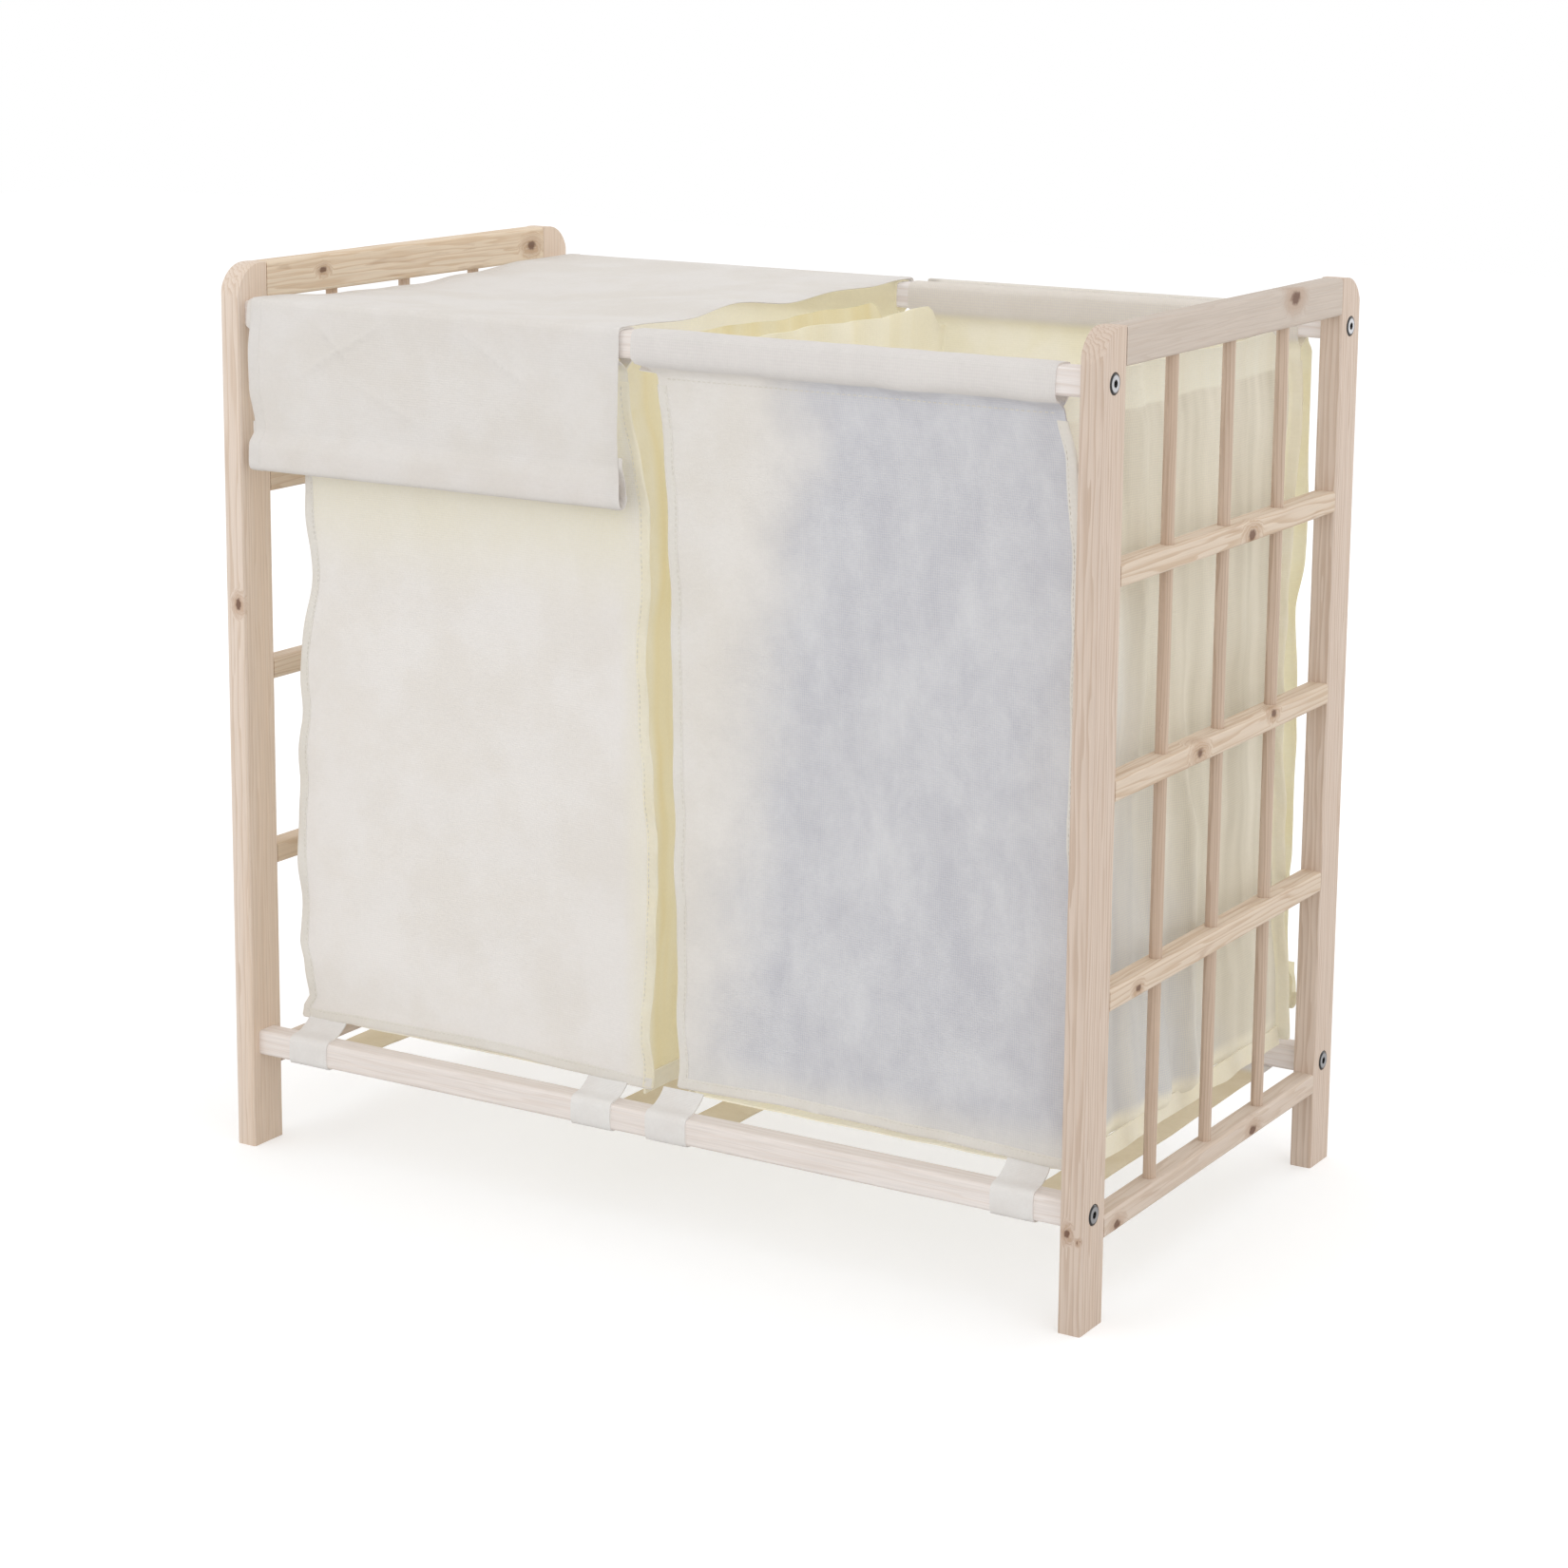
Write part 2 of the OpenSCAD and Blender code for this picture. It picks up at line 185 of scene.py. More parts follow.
# a sheet from place(u, v), where u and v run from 0 to 1 and size is the flat cut in metres
def clothSheet(name, place, size, cells, thickness, outside=1):
    u, v = np.meshgrid(*(np.linspace(0, 1, n + 1) for n in cells), indexing="ij")
    return thickCloth(name, np.stack(place(u, v), axis=-1),
                      np.stack([u * size[0], v * size[1]], axis=-1), thickness, outside < 0)


def unitNormals(place, u, v, step=1e-3):
    def at(a, b):
        return np.stack(place(a, b), axis=-1)
    across = at(u + step, v) - at(u - step, v)
    down = at(u, v + step) - at(u, v - step)
    normal = np.cross(across, down)
    return normal / np.maximum(np.linalg.norm(normal, axis=-1, keepdims=True), 1e-12)


# a folded tape sewn over one edge of a sheet: side is left, right or low
def edgeTape(name, place, side, size, width, thickness, sheet, pucker=None, span=(0.0, 1.0),
             cells=120):
    lift = thickness * 0.5 + sheet * 0.5
    across, down = size[::-1] if side == "low" else size
    steps = [(width, lift), (width * 0.55, lift), (width * 0.12, lift), (-0.0007, lift * 0.55),
             (-0.0011, 0.0), (-0.0007, -lift * 0.55), (width * 0.12, -lift),
             (width * 0.55, -lift), (width, -lift)]
    along = np.linspace(span[0], span[1], cells + 1)
    rows = []
    for inset, height in steps:
        over = np.full_like(along, inset / across if side == "left" else 1 - inset / across)
        u, v = (along, over) if side == "low" else (over, along)
        normal = unitNormals(place, u, v)
        spot = np.stack(place(u, v), axis=-1) + normal * height
        if pucker is not None and height:
            spot = spot + normal * (math.copysign(1, height) * pucker(along * down, inset))[:, None]
        rows.append(spot)
    wide = np.arange(len(steps)) * width / 4
    uvs = np.stack(np.meshgrid(wide, along * max(size), indexing="ij"), axis=-1)
    return thickCloth(name, np.array(rows), uvs, thickness, side != "left")


# the line that a row of stitches follows on a sheet, lifted off it
def seamLine(place, u, v, lift):
    return np.stack(place(u, v), axis=-1) + unitNormals(place, u, v) * lift


# cloth bags: a front and a rear sheet that loop over the top bars, and a gusset between them
barLow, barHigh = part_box("front_top_bar")
barY = -(barLow.y + barHigh.y) / 2
barZ = (barLow.z + barHigh.z) / 2
cloth = {"thickness": 0.0010, "seam": 0.009, "casing": 0.0093, "tape": 0.0003, "tapeWidth": 0.0064,
         "stitchInset": 0.0052, "overTape": 0.00088, "overCasing": 0.00062, "gusset": 0.335,
         "gussetGap": 0.0008, "turn": 0.13, "faceLength": 0.5367}
flange = {"thickness": 0.0016, "top": 0.0955, "drop": 0.0120, "length": 0.325, "gap": 0.002,
          "out": 0.0013, "flare": 0.0022}
bags = {
    "left": {"push": 0.020, "seed": 11, "bulge": 0.0030, "wallFold": 0.0024, "wallPull": 0.001,
             "frontLeft": [(0.09, 0.0005), (0.097, 0.001), (0.106, 0.006), (0.128, 0.0055),
                           (0.145, 0.001), (0.21, 0.001), (0.335, 0.008),
                           (0.40, 0.018), (0.46, 0.013), (0.555, 0.006)],
             "frontRight": [(0.09, 0.008), (0.12, 0.0095), (0.155, 0.008), (0.20, 0.004),
                            (0.25, 0.003), (0.33, 0.008),
                            (0.38, 0.010), (0.42, 0.006), (0.46, 0.008), (0.555, 0.020)],
             "rearLeft": [(0.09, 0.003), (0.2, 0.008), (0.35, 0.012), (0.5, 0.006), (0.555, 0.002)],
             "rearRight": [(0.09, 0.001), (0.25, 0.007), (0.4, 0.010), (0.555, 0.016)],
             "rearPull": [(0.09, 0.002), (0.3, 0.009), (0.45, 0.008), (0.555, 0.0)],
             "lowFront": [(0, 0.090), (0.25, 0.0925), (0.55, 0.0935), (0.8, 0.091), (1, 0.089)],
             "lowRear": [(0, 0.089), (0.4, 0.093), (1, 0.090)],
             "wallCreases": [((-0.158, 0.09), (-0.150, 0.58), 0.0035, 0.0030),
                             ((-0.139, 0.12), (-0.143, 0.55), 0.0045, 0.0026)]},
    "right": {"push": 0.0155, "seed": 29, "bulge": 0.0034, "wallFold": 0.0036, "wallPull": 0.001,
              "frontLeft": [(0.09, 0.006), (0.107, 0.007), (0.26, 0.006), (0.43, 0.004),
                            (0.555, -0.001)],
              "frontRight": [(0.09, 0.001), (0.3, 0.004), (0.45, 0.004), (0.52, 0.008),
                             (0.555, 0.014)],
              "rearLeft": [(0.09, 0.004), (0.3, 0.009), (0.555, 0.002)],
              "rearRight": [(0.09, 0.002), (0.2, 0.007), (0.35, 0.011), (0.5, 0.010),
                            (0.555, 0.015)],
              "rearPull": [(0.09, 0.004), (0.2, 0.012), (0.35, 0.017), (0.48, 0.012),
                           (0.555, 0.0)],
              "lowFront": [(0, 0.094), (0.3, 0.0965), (0.7, 0.095), (1, 0.092)],
              "lowRear": [(0, 0.088), (0.5, 0.091), (1, 0.088)],
              "wallCreases": [((-0.090, 0.33), (-0.028, 0.16), 0.0050, 0.0026),
                              ((-0.025, 0.36), (0.070, 0.17), 0.0060, 0.0026),
                              ((-0.080, 0.20), (0.010, 0.115), 0.0045, 0.0022),
                              ((0.060, 0.30), (0.100, 0.11), 0.0040, 0.0020)]},
}
lean = {"front": 0.1735, "rear": 0.1672, "low": 0.1625, "highest": 0.5587, "lowest": 0.084}


# what every piece of one bag is measured from
class bagForm:
    def __init__(self, side):
        shape = bags[side]
        low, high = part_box(side + "_bag")
        self.side, self.shape = side, shape
        self.casingLeft, self.casingRight = low.x, high.x - shape["push"]
        self.panelLeft, self.panelRight = low.x + shape["push"], high.x
        self.width = self.panelRight - self.panelLeft
        seed = shape["seed"]

        def perFace(step, *size, **more):
            return {face: waves(seed + step + k, *size, **more)
                    for k, face in enumerate(bothFaces)}
        self.broad = perFace(0, 0.21, shape["bulge"])
        self.fine = perFace(5, 0.055, 0.00055, across=1.2, along=0.7)
        self.tuck = perFace(9, 0.032, 0.0011, along=0.12, count=12)
        self.edge = perFace(14, 0.045, 0.0014, across=0.0, count=6)
        self.rim = perFace(19, 0.07, 0.0012, across=0.0, count=6)
        self.left = {face: profile(shape[face + "Left"]) for face in bothFaces}
        self.right = {face: profile(shape[face + "Right"]) for face in bothFaces}
        self.lowEdge = {face: profile(shape["low" + face.capitalize()]) for face in bothFaces}
        self.pull = profile(shape["rearPull"])
        self.loose = waves(seed + 31, 0.06, 0.0007, along=0.6)

    def edges(self, face, z):
        wander = self.rim[face](z * 0, z)
        return (self.panelLeft + self.left[face](z) + wander,
                self.panelRight - self.right[face](z) + wander * 0.8)

    # how far out from the middle of the frame a panel lies
    def out(self, face, x, z):
        below = lean["highest"] - z
        base = mixed(lean[face], lean["low"], below / (lean["highest"] - lean["lowest"]))
        left, right = self.edges(face, z)
        fromEdge = np.minimum(x - left, right - x)
        # the sheet is free to sway below the bar, less so near its hem and its side seams
        free = eased(below / 0.07)
        hung = eased((z - 0.085) / 0.05) * 0.75 + 0.25
        calm = eased(fromEdge / 0.05) * 0.7 + 0.3
        sway = self.broad[face](x, z) * free * hung * calm + self.fine[face](x, z) * free
        sway = sway + self.tuck[face](x, z) * np.exp(-below / 0.045) * eased(below / 0.012)
        sway = sway + self.edge[face](x * 0, z) * np.exp(-np.maximum(fromEdge, 0) / 0.010) * free
        return base + sway - self.pull(z) * (1 if face == "rear" else 0.30)

    # where both walls are, at a share of the way from the front sheet to the rear one
    def sides(self, z, share):
        (leftFront, rightFront), (leftRear, rightRear) = (self.edges(face, z) for face in bothFaces)
        return (mixed(leftFront, leftRear, share) + cloth["seam"],
                mixed(rightFront, rightRear, share) - cloth["seam"])

    def between(self, x, z, share, gap):
        return mixed(-self.out("front", x, z) + gap, self.out("rear", x, z) - gap, share)

    # place on a face sheet: v runs from the seam under the bar, round the bar and down the panel
    def facePlace(self, face):
        sign = -1 if face == "front" else 1
        c = cloth["casing"]
        ring = [(-c + 0.0010, -c + 0.0010), (-c - 0.0003, -0.003), (-c, 0.004),
                (-c + 0.0012, c - 0.0012), (-0.004, c), (0.004, c), (c - 0.0012, c - 0.0012),
                (c, 0.004), (c + 0.0004, -0.003), (c - 0.0002, -c + 0.0002)]
        if face == "front":
            loop = ([(0.0002, -c - 0.0062), (-0.0040, -c - 0.0030)] + ring
                    + [(0.0060, -c - 0.0032), (0.0024, -c - 0.0062)])
        else:
            # the rear sheet goes round the other way and hangs from the bar's inner side
            loop = [(-p, q) for p, q in [(0.0038, -c - 0.0062), (-0.0010, -c - 0.0030)] + ring
                    + [(0.0082, -c - 0.0030), (0.0064, -c - 0.0062)]]
        loopOut, loopUp = np.array(loop).T
        # turn is the share of v that goes round the bar; the panel starts at topZ
        last, turn, topZ = len(loop) - 1, cloth["turn"], barZ - c - 0.0082

        def place(u, v):
            w = np.clip(v / turn, 0, 1) * last
            i = np.clip(np.floor(w).astype(int), 0, last - 1)
            t = w - i
            # a smooth curve through the loop's points
            a, b, d, e = (np.clip(i + k, 0, last) for k in (-1, 0, 1, 2))

            def smooth(p):
                return (p[b] + 0.5 * t * (p[d] - p[a] + t * (2 * p[a] - 5 * p[b] + 4 * p[d] - p[e]
                        + t * (3 * (p[b] - p[d]) + p[e] - p[a]))))
            ringOut, ringUp = smooth(loopOut), smooth(loopUp)
            z = topZ - (v - turn) / (1 - turn) * (topZ - self.lowEdge[face](u))
            down, top = v >= turn, np.full_like(u, topZ)
            xPanel = mixed(*self.edges(face, z), u)
            xCasing = mixed(self.casingLeft, self.casingRight, u)
            loose = np.abs(self.loose(xCasing, w * 0.004))
            # the rear casing stays snug, so that an open lid hangs clear of it
            under, over = (1.3, 0.35) if face == "front" else (0.1, 0.0)
            slack = 1 + loose / c * np.where(ringUp < 0, under, over)
            # the loop narrows to the panel's width as it comes off the bar
            xRing = mixed(xCasing, mixed(*self.edges(face, top), u), eased((w - last + 2.2) / 2.2))
            blendIn = eased((w - last + 1.5) / 1.5)
            yRing = mixed(barY + ringOut * slack, self.out(face, xRing, top), blendIn)
            zRing = mixed(barZ + ringUp * slack, top, blendIn ** 3)
            return (np.where(down, xPanel, xRing),
                    sign * np.where(down, self.out(face, xPanel, z), yRing),
                    np.where(down, z, zRing))
        return place

    # place on the gusset: u runs down the left wall, across the floor and up the right wall
    def gussetPlace(self):
        shape = self.shape
        floorZ, r, corner = 0.0905, 0.008, 0.08
        wallTop = barZ - 0.003
        knots = [(0, wallTop), (0, 0.45), (0, 0.33), (0, 0.2), (0, floorZ + r * 1.6),
                 (0, floorZ + r)]
        knots += [(r - r * math.cos(a), floorZ + r - r * math.sin(a))
                  for a in (0.4, 0.8, 1.2)] + [(r, floorZ), (corner, floorZ)]
        left = np.array(knots)
        run = lengthAlong(left)
        floorLength = self.width - 2 * cloth["seam"] - 2 * corner
        total = 2 * run[-1] + floorLength
        self.gussetLength = total
        seed, fold, flatDepth = shape["seed"], shape["wallFold"], 0.33
        floorSag, frontDip, rearDip, rimRun = 0.0035, 0.0078, 0.0150, 0.02
        folds = waves(seed + 41, 0.055, fold, along=0.12, count=10)
        broad = waves(seed + 47, 0.22, fold * 0.9)
        tiny = waves(seed + 53, 0.04, 0.0005)
        sagWave = waves(seed + 59, 0.09, 0.0012)
        topWave = waves(seed + 63, 0.10, 0.0012, along=0.0)
        creases = [crease(*c) for c in shape["wallCreases"]]

        def place(u, v):
            s = u * total
            far = s > total / 2
            d = np.where(far, total - s, s)
            inset = np.interp(d, run, left[:, 0])
            halfway = np.maximum(d - run[-1], 0) / (floorLength / 2)
            z = np.interp(d, run, left[:, 1])
            onWall = 1 - eased((d - run[4]) / 0.03)
            xLeft, xRight = self.sides(z, eased(v) * 0.35 + v * 0.65)
            inset = inset + halfway * ((xRight - xLeft) / 2 - corner)
            free = np.sin(np.pi * np.clip(v, 0, 1)) ** 0.7
            y0 = (v - 0.5) * flatDepth
            into = free * onWall * (shape["wallPull"] * np.sin(np.pi * np.clip(
                (wallTop - z) / (wallTop - 0.08), 0, 1)) ** 0.7 + folds(y0, z + far * 3.0)
                + broad(y0, z + far * 5.0)) + tiny(y0, z) * free
            for line in creases:
                into = into - line(y0, z) * free * onWall * far
            x = np.where(far, xRight - inset - into, xLeft + inset + into)
            sag = (1 - onWall) * free * (floorSag * np.sin(np.pi * np.clip(
                (x - xLeft) / (xRight - xLeft), 0, 1)) + sagWave(x, y0))
            z = z - sag
            y = self.between(x, z, v, cloth["gussetGap"])
            # the top edge dips at both ends, to pass under the casings
            dip = np.where(y < 0, frontDip * eased((-y - 0.1565) / 0.0065),
                           rearDip * eased((y - 0.1400) / 0.0180))
            dip = dip - topWave(y, far) * free
            dip = np.where(d < rimRun, dip * (1 - d / rimRun), 0)
            return x, y, z - dip
        return place

    # the seam allowance that hangs below one wall
    def flangePlace(self, far):
        wave = waves(self.shape["seed"] + 67 + far, 0.045, 0.0010, across=0.0, count=6)

        def place(u, v):
            z = flange["top"] - flange["drop"] * v
            x = self.sides(z, u)[far]
            y = self.between(x, z, u, flange["gap"])
            flare = flange["out"] + flange["flare"] * v + wave(y * 0, y) * v
            x = x + (1 if far else -1) * flare
            return x, y, z - wave(y * 0, y + 0.3) * 0.8 * v
        return place


seams = []          # the lines that the stitches follow later


# a face sheet, the tapes folded over three of its edges below the bar, and its rows of stitches
def sewFace(form, face):
    name = f"{form.side}Bag{face.capitalize()}"
    place, outside = form.facePlace(face), 1 if face == "front" else -1
    size = (form.width, cloth["faceLength"])
    panel = clothSheet(name, place, size, (72, 150), cloth["thickness"], outside)
    pucker = waves(form.shape["seed"] + 71, 0.016, 0.00030, count=6)
    inset, tapes = cloth["stitchInset"], []
    for edge in ("left", "right", "low"):
        span = (0.0, 1.0) if edge == "low" else (0.142, 1.0)
        tapes.append(edgeTape(f"{name}Tape{edge.capitalize()}", place, edge, size,
                              cloth["tapeWidth"], cloth["tape"], cloth["thickness"], span=span,
                              pucker=lambda r, i: np.maximum(pucker(r, i * 8), -0.00005)))
        if edge == "low":
            u = np.linspace(0.012, 0.988, 300)
            v = np.full_like(u, 1 - inset / size[1])
        else:
            v = np.linspace(0.150, 0.992, 400)
            u = np.full_like(v, inset / size[0] if edge == "left" else 1 - inset / size[0])
        seams.append(seamLine(place, u, v, -outside * cloth["overTape"]))
    u = np.linspace(0.03, 0.97, 300)
    v = np.full_like(u, cloth["turn"] + 0.004)
    seams.append(seamLine(place, u, v, -outside * cloth["overCasing"]))
    return panel, tapes


def sewBag(side):
    form = bagForm(side)
    (front, frontTapes), (rear, rearTapes) = (sewFace(form, face) for face in bothFaces)
    place = form.gussetPlace()
    size = (form.gussetLength, cloth["gusset"])
    gusset = clothSheet(f"{side}BagGusset", place, size, (260, 64), cloth["thickness"])
    flanges = [clothSheet(f"{side}BagFlange{label}", form.flangePlace(far),
                          (flange["length"], flange["drop"]), (90, 5), flange["thickness"],
                          1 if far else -1) for far, label in ((0, "Left"), (1, "Right"))]
    pieces = [*frontTapes, front, *rearTapes, rear, gusset, *flanges]
    for piece in pieces:
        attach(piece, "frame")
    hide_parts(f"{side}_bag")
    return pieces


bagPieces = {side: sewBag(side) for side in bags}
print("bags made")


# straps: each runs from the bag's lower seam over the bottom bar and back under the bag;
# halfPath is drawn for a bar at the height drawnBar and moved to where the bar is
strapWidth = {"left_outer": 0.031, "left_inner": 0.030, "right_inner": 0.030, "right_outer": 0.029}
strapThickness, drawnBar = 0.0011, 0.072
lowBarLow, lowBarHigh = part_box("front_bottom_bar")
lowBarZ = (lowBarLow.z + lowBarHigh.z) / 2
halfPath = [(-0.1600, 0.0915), (-0.1622, 0.0885), (-0.1660, 0.0858), (-0.1705, 0.0832),
            (-0.1750, 0.0820), (-0.1790, 0.0816), (-0.1813, 0.0807), (-0.1823, 0.0780),
            (-0.1825, 0.0720), (-0.1823, 0.0660), (-0.1813, 0.0634), (-0.1785, 0.0625),
            (-0.1730, 0.0624), (-0.1600, 0.0620), (-0.1200, 0.0612), (-0.0600, 0.0606)]


def strapPlace(low, high, width, seed):
    path = np.array([(y, z - drawnBar + lowBarZ) for y, z in halfPath])
    path = np.concatenate([path, [(0.0, path[-1, 1] - 0.0002)], path[::-1] * [-1, 1]])
    run = lengthAlong(path)
    middle = (low.x + high.x) / 2
    drift = waves(seed, 0.25, 0.0016, across=0.0, count=5)
    ruffle = waves(seed + 1, 0.05, 0.00022)

    def place(u, v):
        s = v * run[-1]
        y, z = np.interp(s, run, path[:, 0]), np.interp(s, run, path[:, 1])
        x = middle + (u - 0.5) * width + drift(s * 0, s)
        under = eased((0.15 - np.abs(y)) / 0.03)
        cup = (1 - (2 * u - 1) ** 2) * 0.0007 * under
        return x, y, z + cup + ruffle(x, s) * (0.4 + under)
    return place, run[-1]


straps = []
for k, (key, width) in enumerate(strapWidth.items()):
    place, length = strapPlace(*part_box(key + "_strap"), width, 101 + 7 * k)
    side, end = key.split("_")
    piece = clothSheet(side + end.capitalize() + "Strap", place, (width, length), (10, 190),
                       strapThickness, -1)
    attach(piece, "frame")
    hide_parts(key + "_strap")
    straps.append(piece)
print("straps made")


# lids: the rear piece bends at the hinge seam, the front one bends at the fold and holds the slat
joints = {j["name"]: Vector(j["pos_m"]) for j in frame["record"]["behaviour"]["joints"]}
lids = {
    "left": {"seed": 211, "split": 0.02, "closed": True,
             "leftSag": [(-0.185, 0.0), (-0.163, 0.0004), (-0.09, 0.0068), (-0.022, 0.0068),
                         (0.056, 0.0040), (0.122, 0.0008), (0.165, 0.0), (0.19, 0.0)],
             "rightSag": [(-0.185, 0.0), (-0.160, 0.0002), (-0.098, 0.0026), (-0.051, -0.0012),
                          (0.017, 0.0026), (0.075, -0.0008), (0.13, 0.0012), (0.165, 0.0),
                          (0.19, 0.0)],
             "leftEdge": [(0.0, 0.002), (0.36, 0.002), (0.378, 0.0022), (0.405, 0.0006),
                          (0.425, 0.0008), (0.450, 0.0040), (0.462, 0.0012), (0.485, 0.0006)],
             "rightEdge": [(0.0, 0.0), (0.10, 0.0010), (0.2, 0.0), (0.30, 0.0006),
                           (0.37, 0.0004), (0.450, 0.0016), (0.464, -0.0016), (0.485, -0.0022)]},
    "right": {"seed": 251, "split": 0.19, "closed": False,
              "leftEdge": [(0.0, 0.001), (0.1, 0.003), (0.2, 0.001), (0.3, 0.004), (0.4, 0.002),
                           (0.485, 0.0)],
              "rightEdge": [(0.0, 0.003), (0.023, 0.005), (0.032, 0.002), (0.125, 0.002),
                            (0.17, 0.003), (0.205, 0.007), (0.255, 0.004), (0.37, 0.003),
                            (0.452, 0.003), (0.460, -0.0016), (0.485, -0.0020)]},
}
lidCloth = {"thickness": 0.0009, "hem": 0.008, "hemTape": 0.00016, "foldRadius": 0.0030,
            "tail": 0.0135, "slatHem": 0.0262, "gap": 0.0002, "middleSag": 0.0022,
            "casingSink": 0.0021, "foldDip": 0.00095, "flapDip": 0.0014}
barInside = 0.165          # from the middle of the frame to where a lid leaves the bar
lidCreases = [crease((0.050, 0.376), (0.084, 0.404), 0.0014, 0.0011),
              crease((0.118, 0.372), (0.034, 0.418), 0.0016, 0.0013),
              crease((0.160, 0.372), (0.232, 0.414), 0.0016, 0.0011),
              crease((0.078, 0.412), (0.150, 0.444), 0.0014, 0.0009),
              crease((0.240, 0.385), (0.262, 0.452), 0.0014, 0.0008),
              crease((0.10, 0.21), (0.23, 0.30), 0.0020, 0.0009)]


class lidForm:
    def __init__(self, side):
        shape = lids[side]
        low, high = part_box(side + "_lid")
        self.shape = shape
        self.x0, self.x1, self.width = low.x, high.x, high.x - low.x
        self.hinge = joints[side + "_lid_hinge"]
        self.fold = joints[side + "_flap_fold"]
        self.depth = (self.fold - self.hinge).length
        self.flap = self.fold.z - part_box(side + "_flap")[0].z
        self.left = profile(shape["leftEdge"])
        self.right = profile(shape["rightEdge"])
        seed = shape["seed"]
        self.broad = waves(seed, 0.16, 0.0016)
        self.fine = waves(seed + 1, 0.05, 0.00035, across=0.8, along=1.2)
        self.flapBroad = waves(seed + 2, 0.14, 0.0010)
        if shape["closed"]:
            self.leftSag, self.rightSag = profile(shape["leftSag"]), profile(shape["rightSag"])

    # s is the way along the cloth from the hinge line, x the place across
    def edges(self, s):
        return self.x0 + self.left(s), self.x1 - self.right(s)

    # closed lid: over the bag and down its front
    def closedAt(self, x, s):
        u = np.clip((x - self.x0) / self.width, 0, 1)
        y0, z0 = self.hinge.y, self.hinge.z + lidCloth["gap"]
        r = lidCloth["foldRadius"]
        topLength = self.depth - r + 0.0004          # flat run up to the rounded fold
        arc = math.pi / 2 * r
        turn = np.clip((s - topLength) / arc, 0, 1) * math.pi / 2
        fall = np.maximum(s - topLength - arc, 0)
        y = y0 - np.minimum(s, topLength) - r * np.sin(turn)
        z = z0 - r * (1 - np.cos(turn)) - fall
        sag = mixed(self.leftSag(y), self.rightSag(y), eased(u) * 0.6 + u * 0.4)
        middle = np.clip(1 - (y / barInside) ** 2, 0, 1)
        top = s < topLength
        lift = self.broad(x, y) * middle + self.fine(x, y) * (0.3 + middle) - sag
        lift = lift - lidCloth["middleSag"] * middle * np.sin(np.pi * u)
        out = lidCloth["gap"] + self.ripple(x, s) * eased(fall / 0.03)
        out = out + sum(line(x - self.x0, s) for line in lidCreases)
        z = z + np.where(top, lift, 0) * eased((topLength - s) / 0.02)
        y = y - np.where(top, 0, out)
        return y, z

    # waves of the flap, only outward
    def ripple(self, x, s):
        return np.maximum(self.flapBroad(x, s) + 0.0009, 0)

    # open lid: hangs straight down behind the bag, nearer to it where it will cross the front bar
    def hungAt(self, x, s):
        r = 0.0006
        arc = math.pi * r
        turn = np.clip(s / arc, 0, 1) * math.pi
        y = self.hinge.y - 0.0003 + 0.0005 * (1 - np.cos(turn))
        z = self.hinge.z + r * np.sin(turn) - np.maximum(s - arc, 0) - 0.0004
        swing = self.broad(x, s) * 1.1 + self.fine(x, s) * 1.5
        y = y + np.maximum(swing + 0.0008, 0) * eased((s - 0.02) / 0.05) * eased(
            (self.depth - 0.032 - s) / 0.05)
        y = y - lidCloth["foldDip"] * eased((s - self.depth + 0.08) / 0.05)
        y = y - (lidCloth["flapDip"] + self.ripple(x, s)) * eased((s - self.depth - 0.004) / 0.014)
        return y, z

    # the tail is sewn to the casing below the hinge line
    def spine(self, x, s):
        body = self.closedAt if self.shape["closed"] else self.hungAt
        y, z = body(x, np.maximum(s, 0))
        tail = np.minimum(s, 0)
        if self.shape["closed"]:
            r, sink = 0.0028, lidCloth["casingSink"]
            turn = np.clip(-tail / (math.pi / 2 * r), 0, 1) * math.pi / 2
            y = y + np.where(s < 0, r * np.sin(turn) - sink, -sink * eased(1 - s / 0.01))
            past = np.maximum(-tail - math.pi / 2 * r, 0)
            z = z - np.where(s < 0, r * (1 - np.cos(turn)) + past, 0)
        else:
            z = z + tail
        return y, z

    def rearPlace(self, start, end):
        def place(u, v):
            s = mixed(start, end, v)
            x = mixed(*self.edges(s), u)
            return x, *self.spine(x, s)
        return place

    # the hem's loop: down the front ply, round the slat's lower edge and up the rear ply
    def frontPlace(self, start):
        seam = self.depth + self.flap - lidCloth["slatHem"]          # where the hem is sewn shut
        end = self.depth + self.flap
        loop = np.array([(0.0, 0.0), (0.0016, -0.0040), (0.0033, -0.0080), (0.0037, -0.0140),
                         (0.0037, -0.0205), (0.0030, -0.0240), (0.0012, -0.0257),
                         (-0.0014, -0.0256), (-0.0036, -0.0238), (-0.0052, -0.0200),
                         (-0.0054, -0.0145), (-0.0044, -0.0090), (-0.0026, -0.0045),
                         (-0.0011, -0.0010), (-0.0011, 0.0035), (-0.0011, 0.0060)])
        run = lengthAlong(loop)
        total = seam - start + run[-1]
        rest = self.hinge.y + lidCloth["gap"]

        def place(u, v):
            s = start + total * v
            x = mixed(*self.edges(np.minimum(s, end)), u)
            flat = np.minimum(s, seam)
            y, z = self.spine(x, flat)
            outStep, drop = (np.interp(np.maximum(s - seam, 0), run, way) for way in loop.T)
            # near the hem the cloth lies against the slat
            hold = eased((flat - (seam - 0.03)) / 0.03)
            y = mixed(y, np.full_like(y, -rest if self.shape["closed"] else rest), hold)
            return x, y - outStep, z + drop
        return place, total


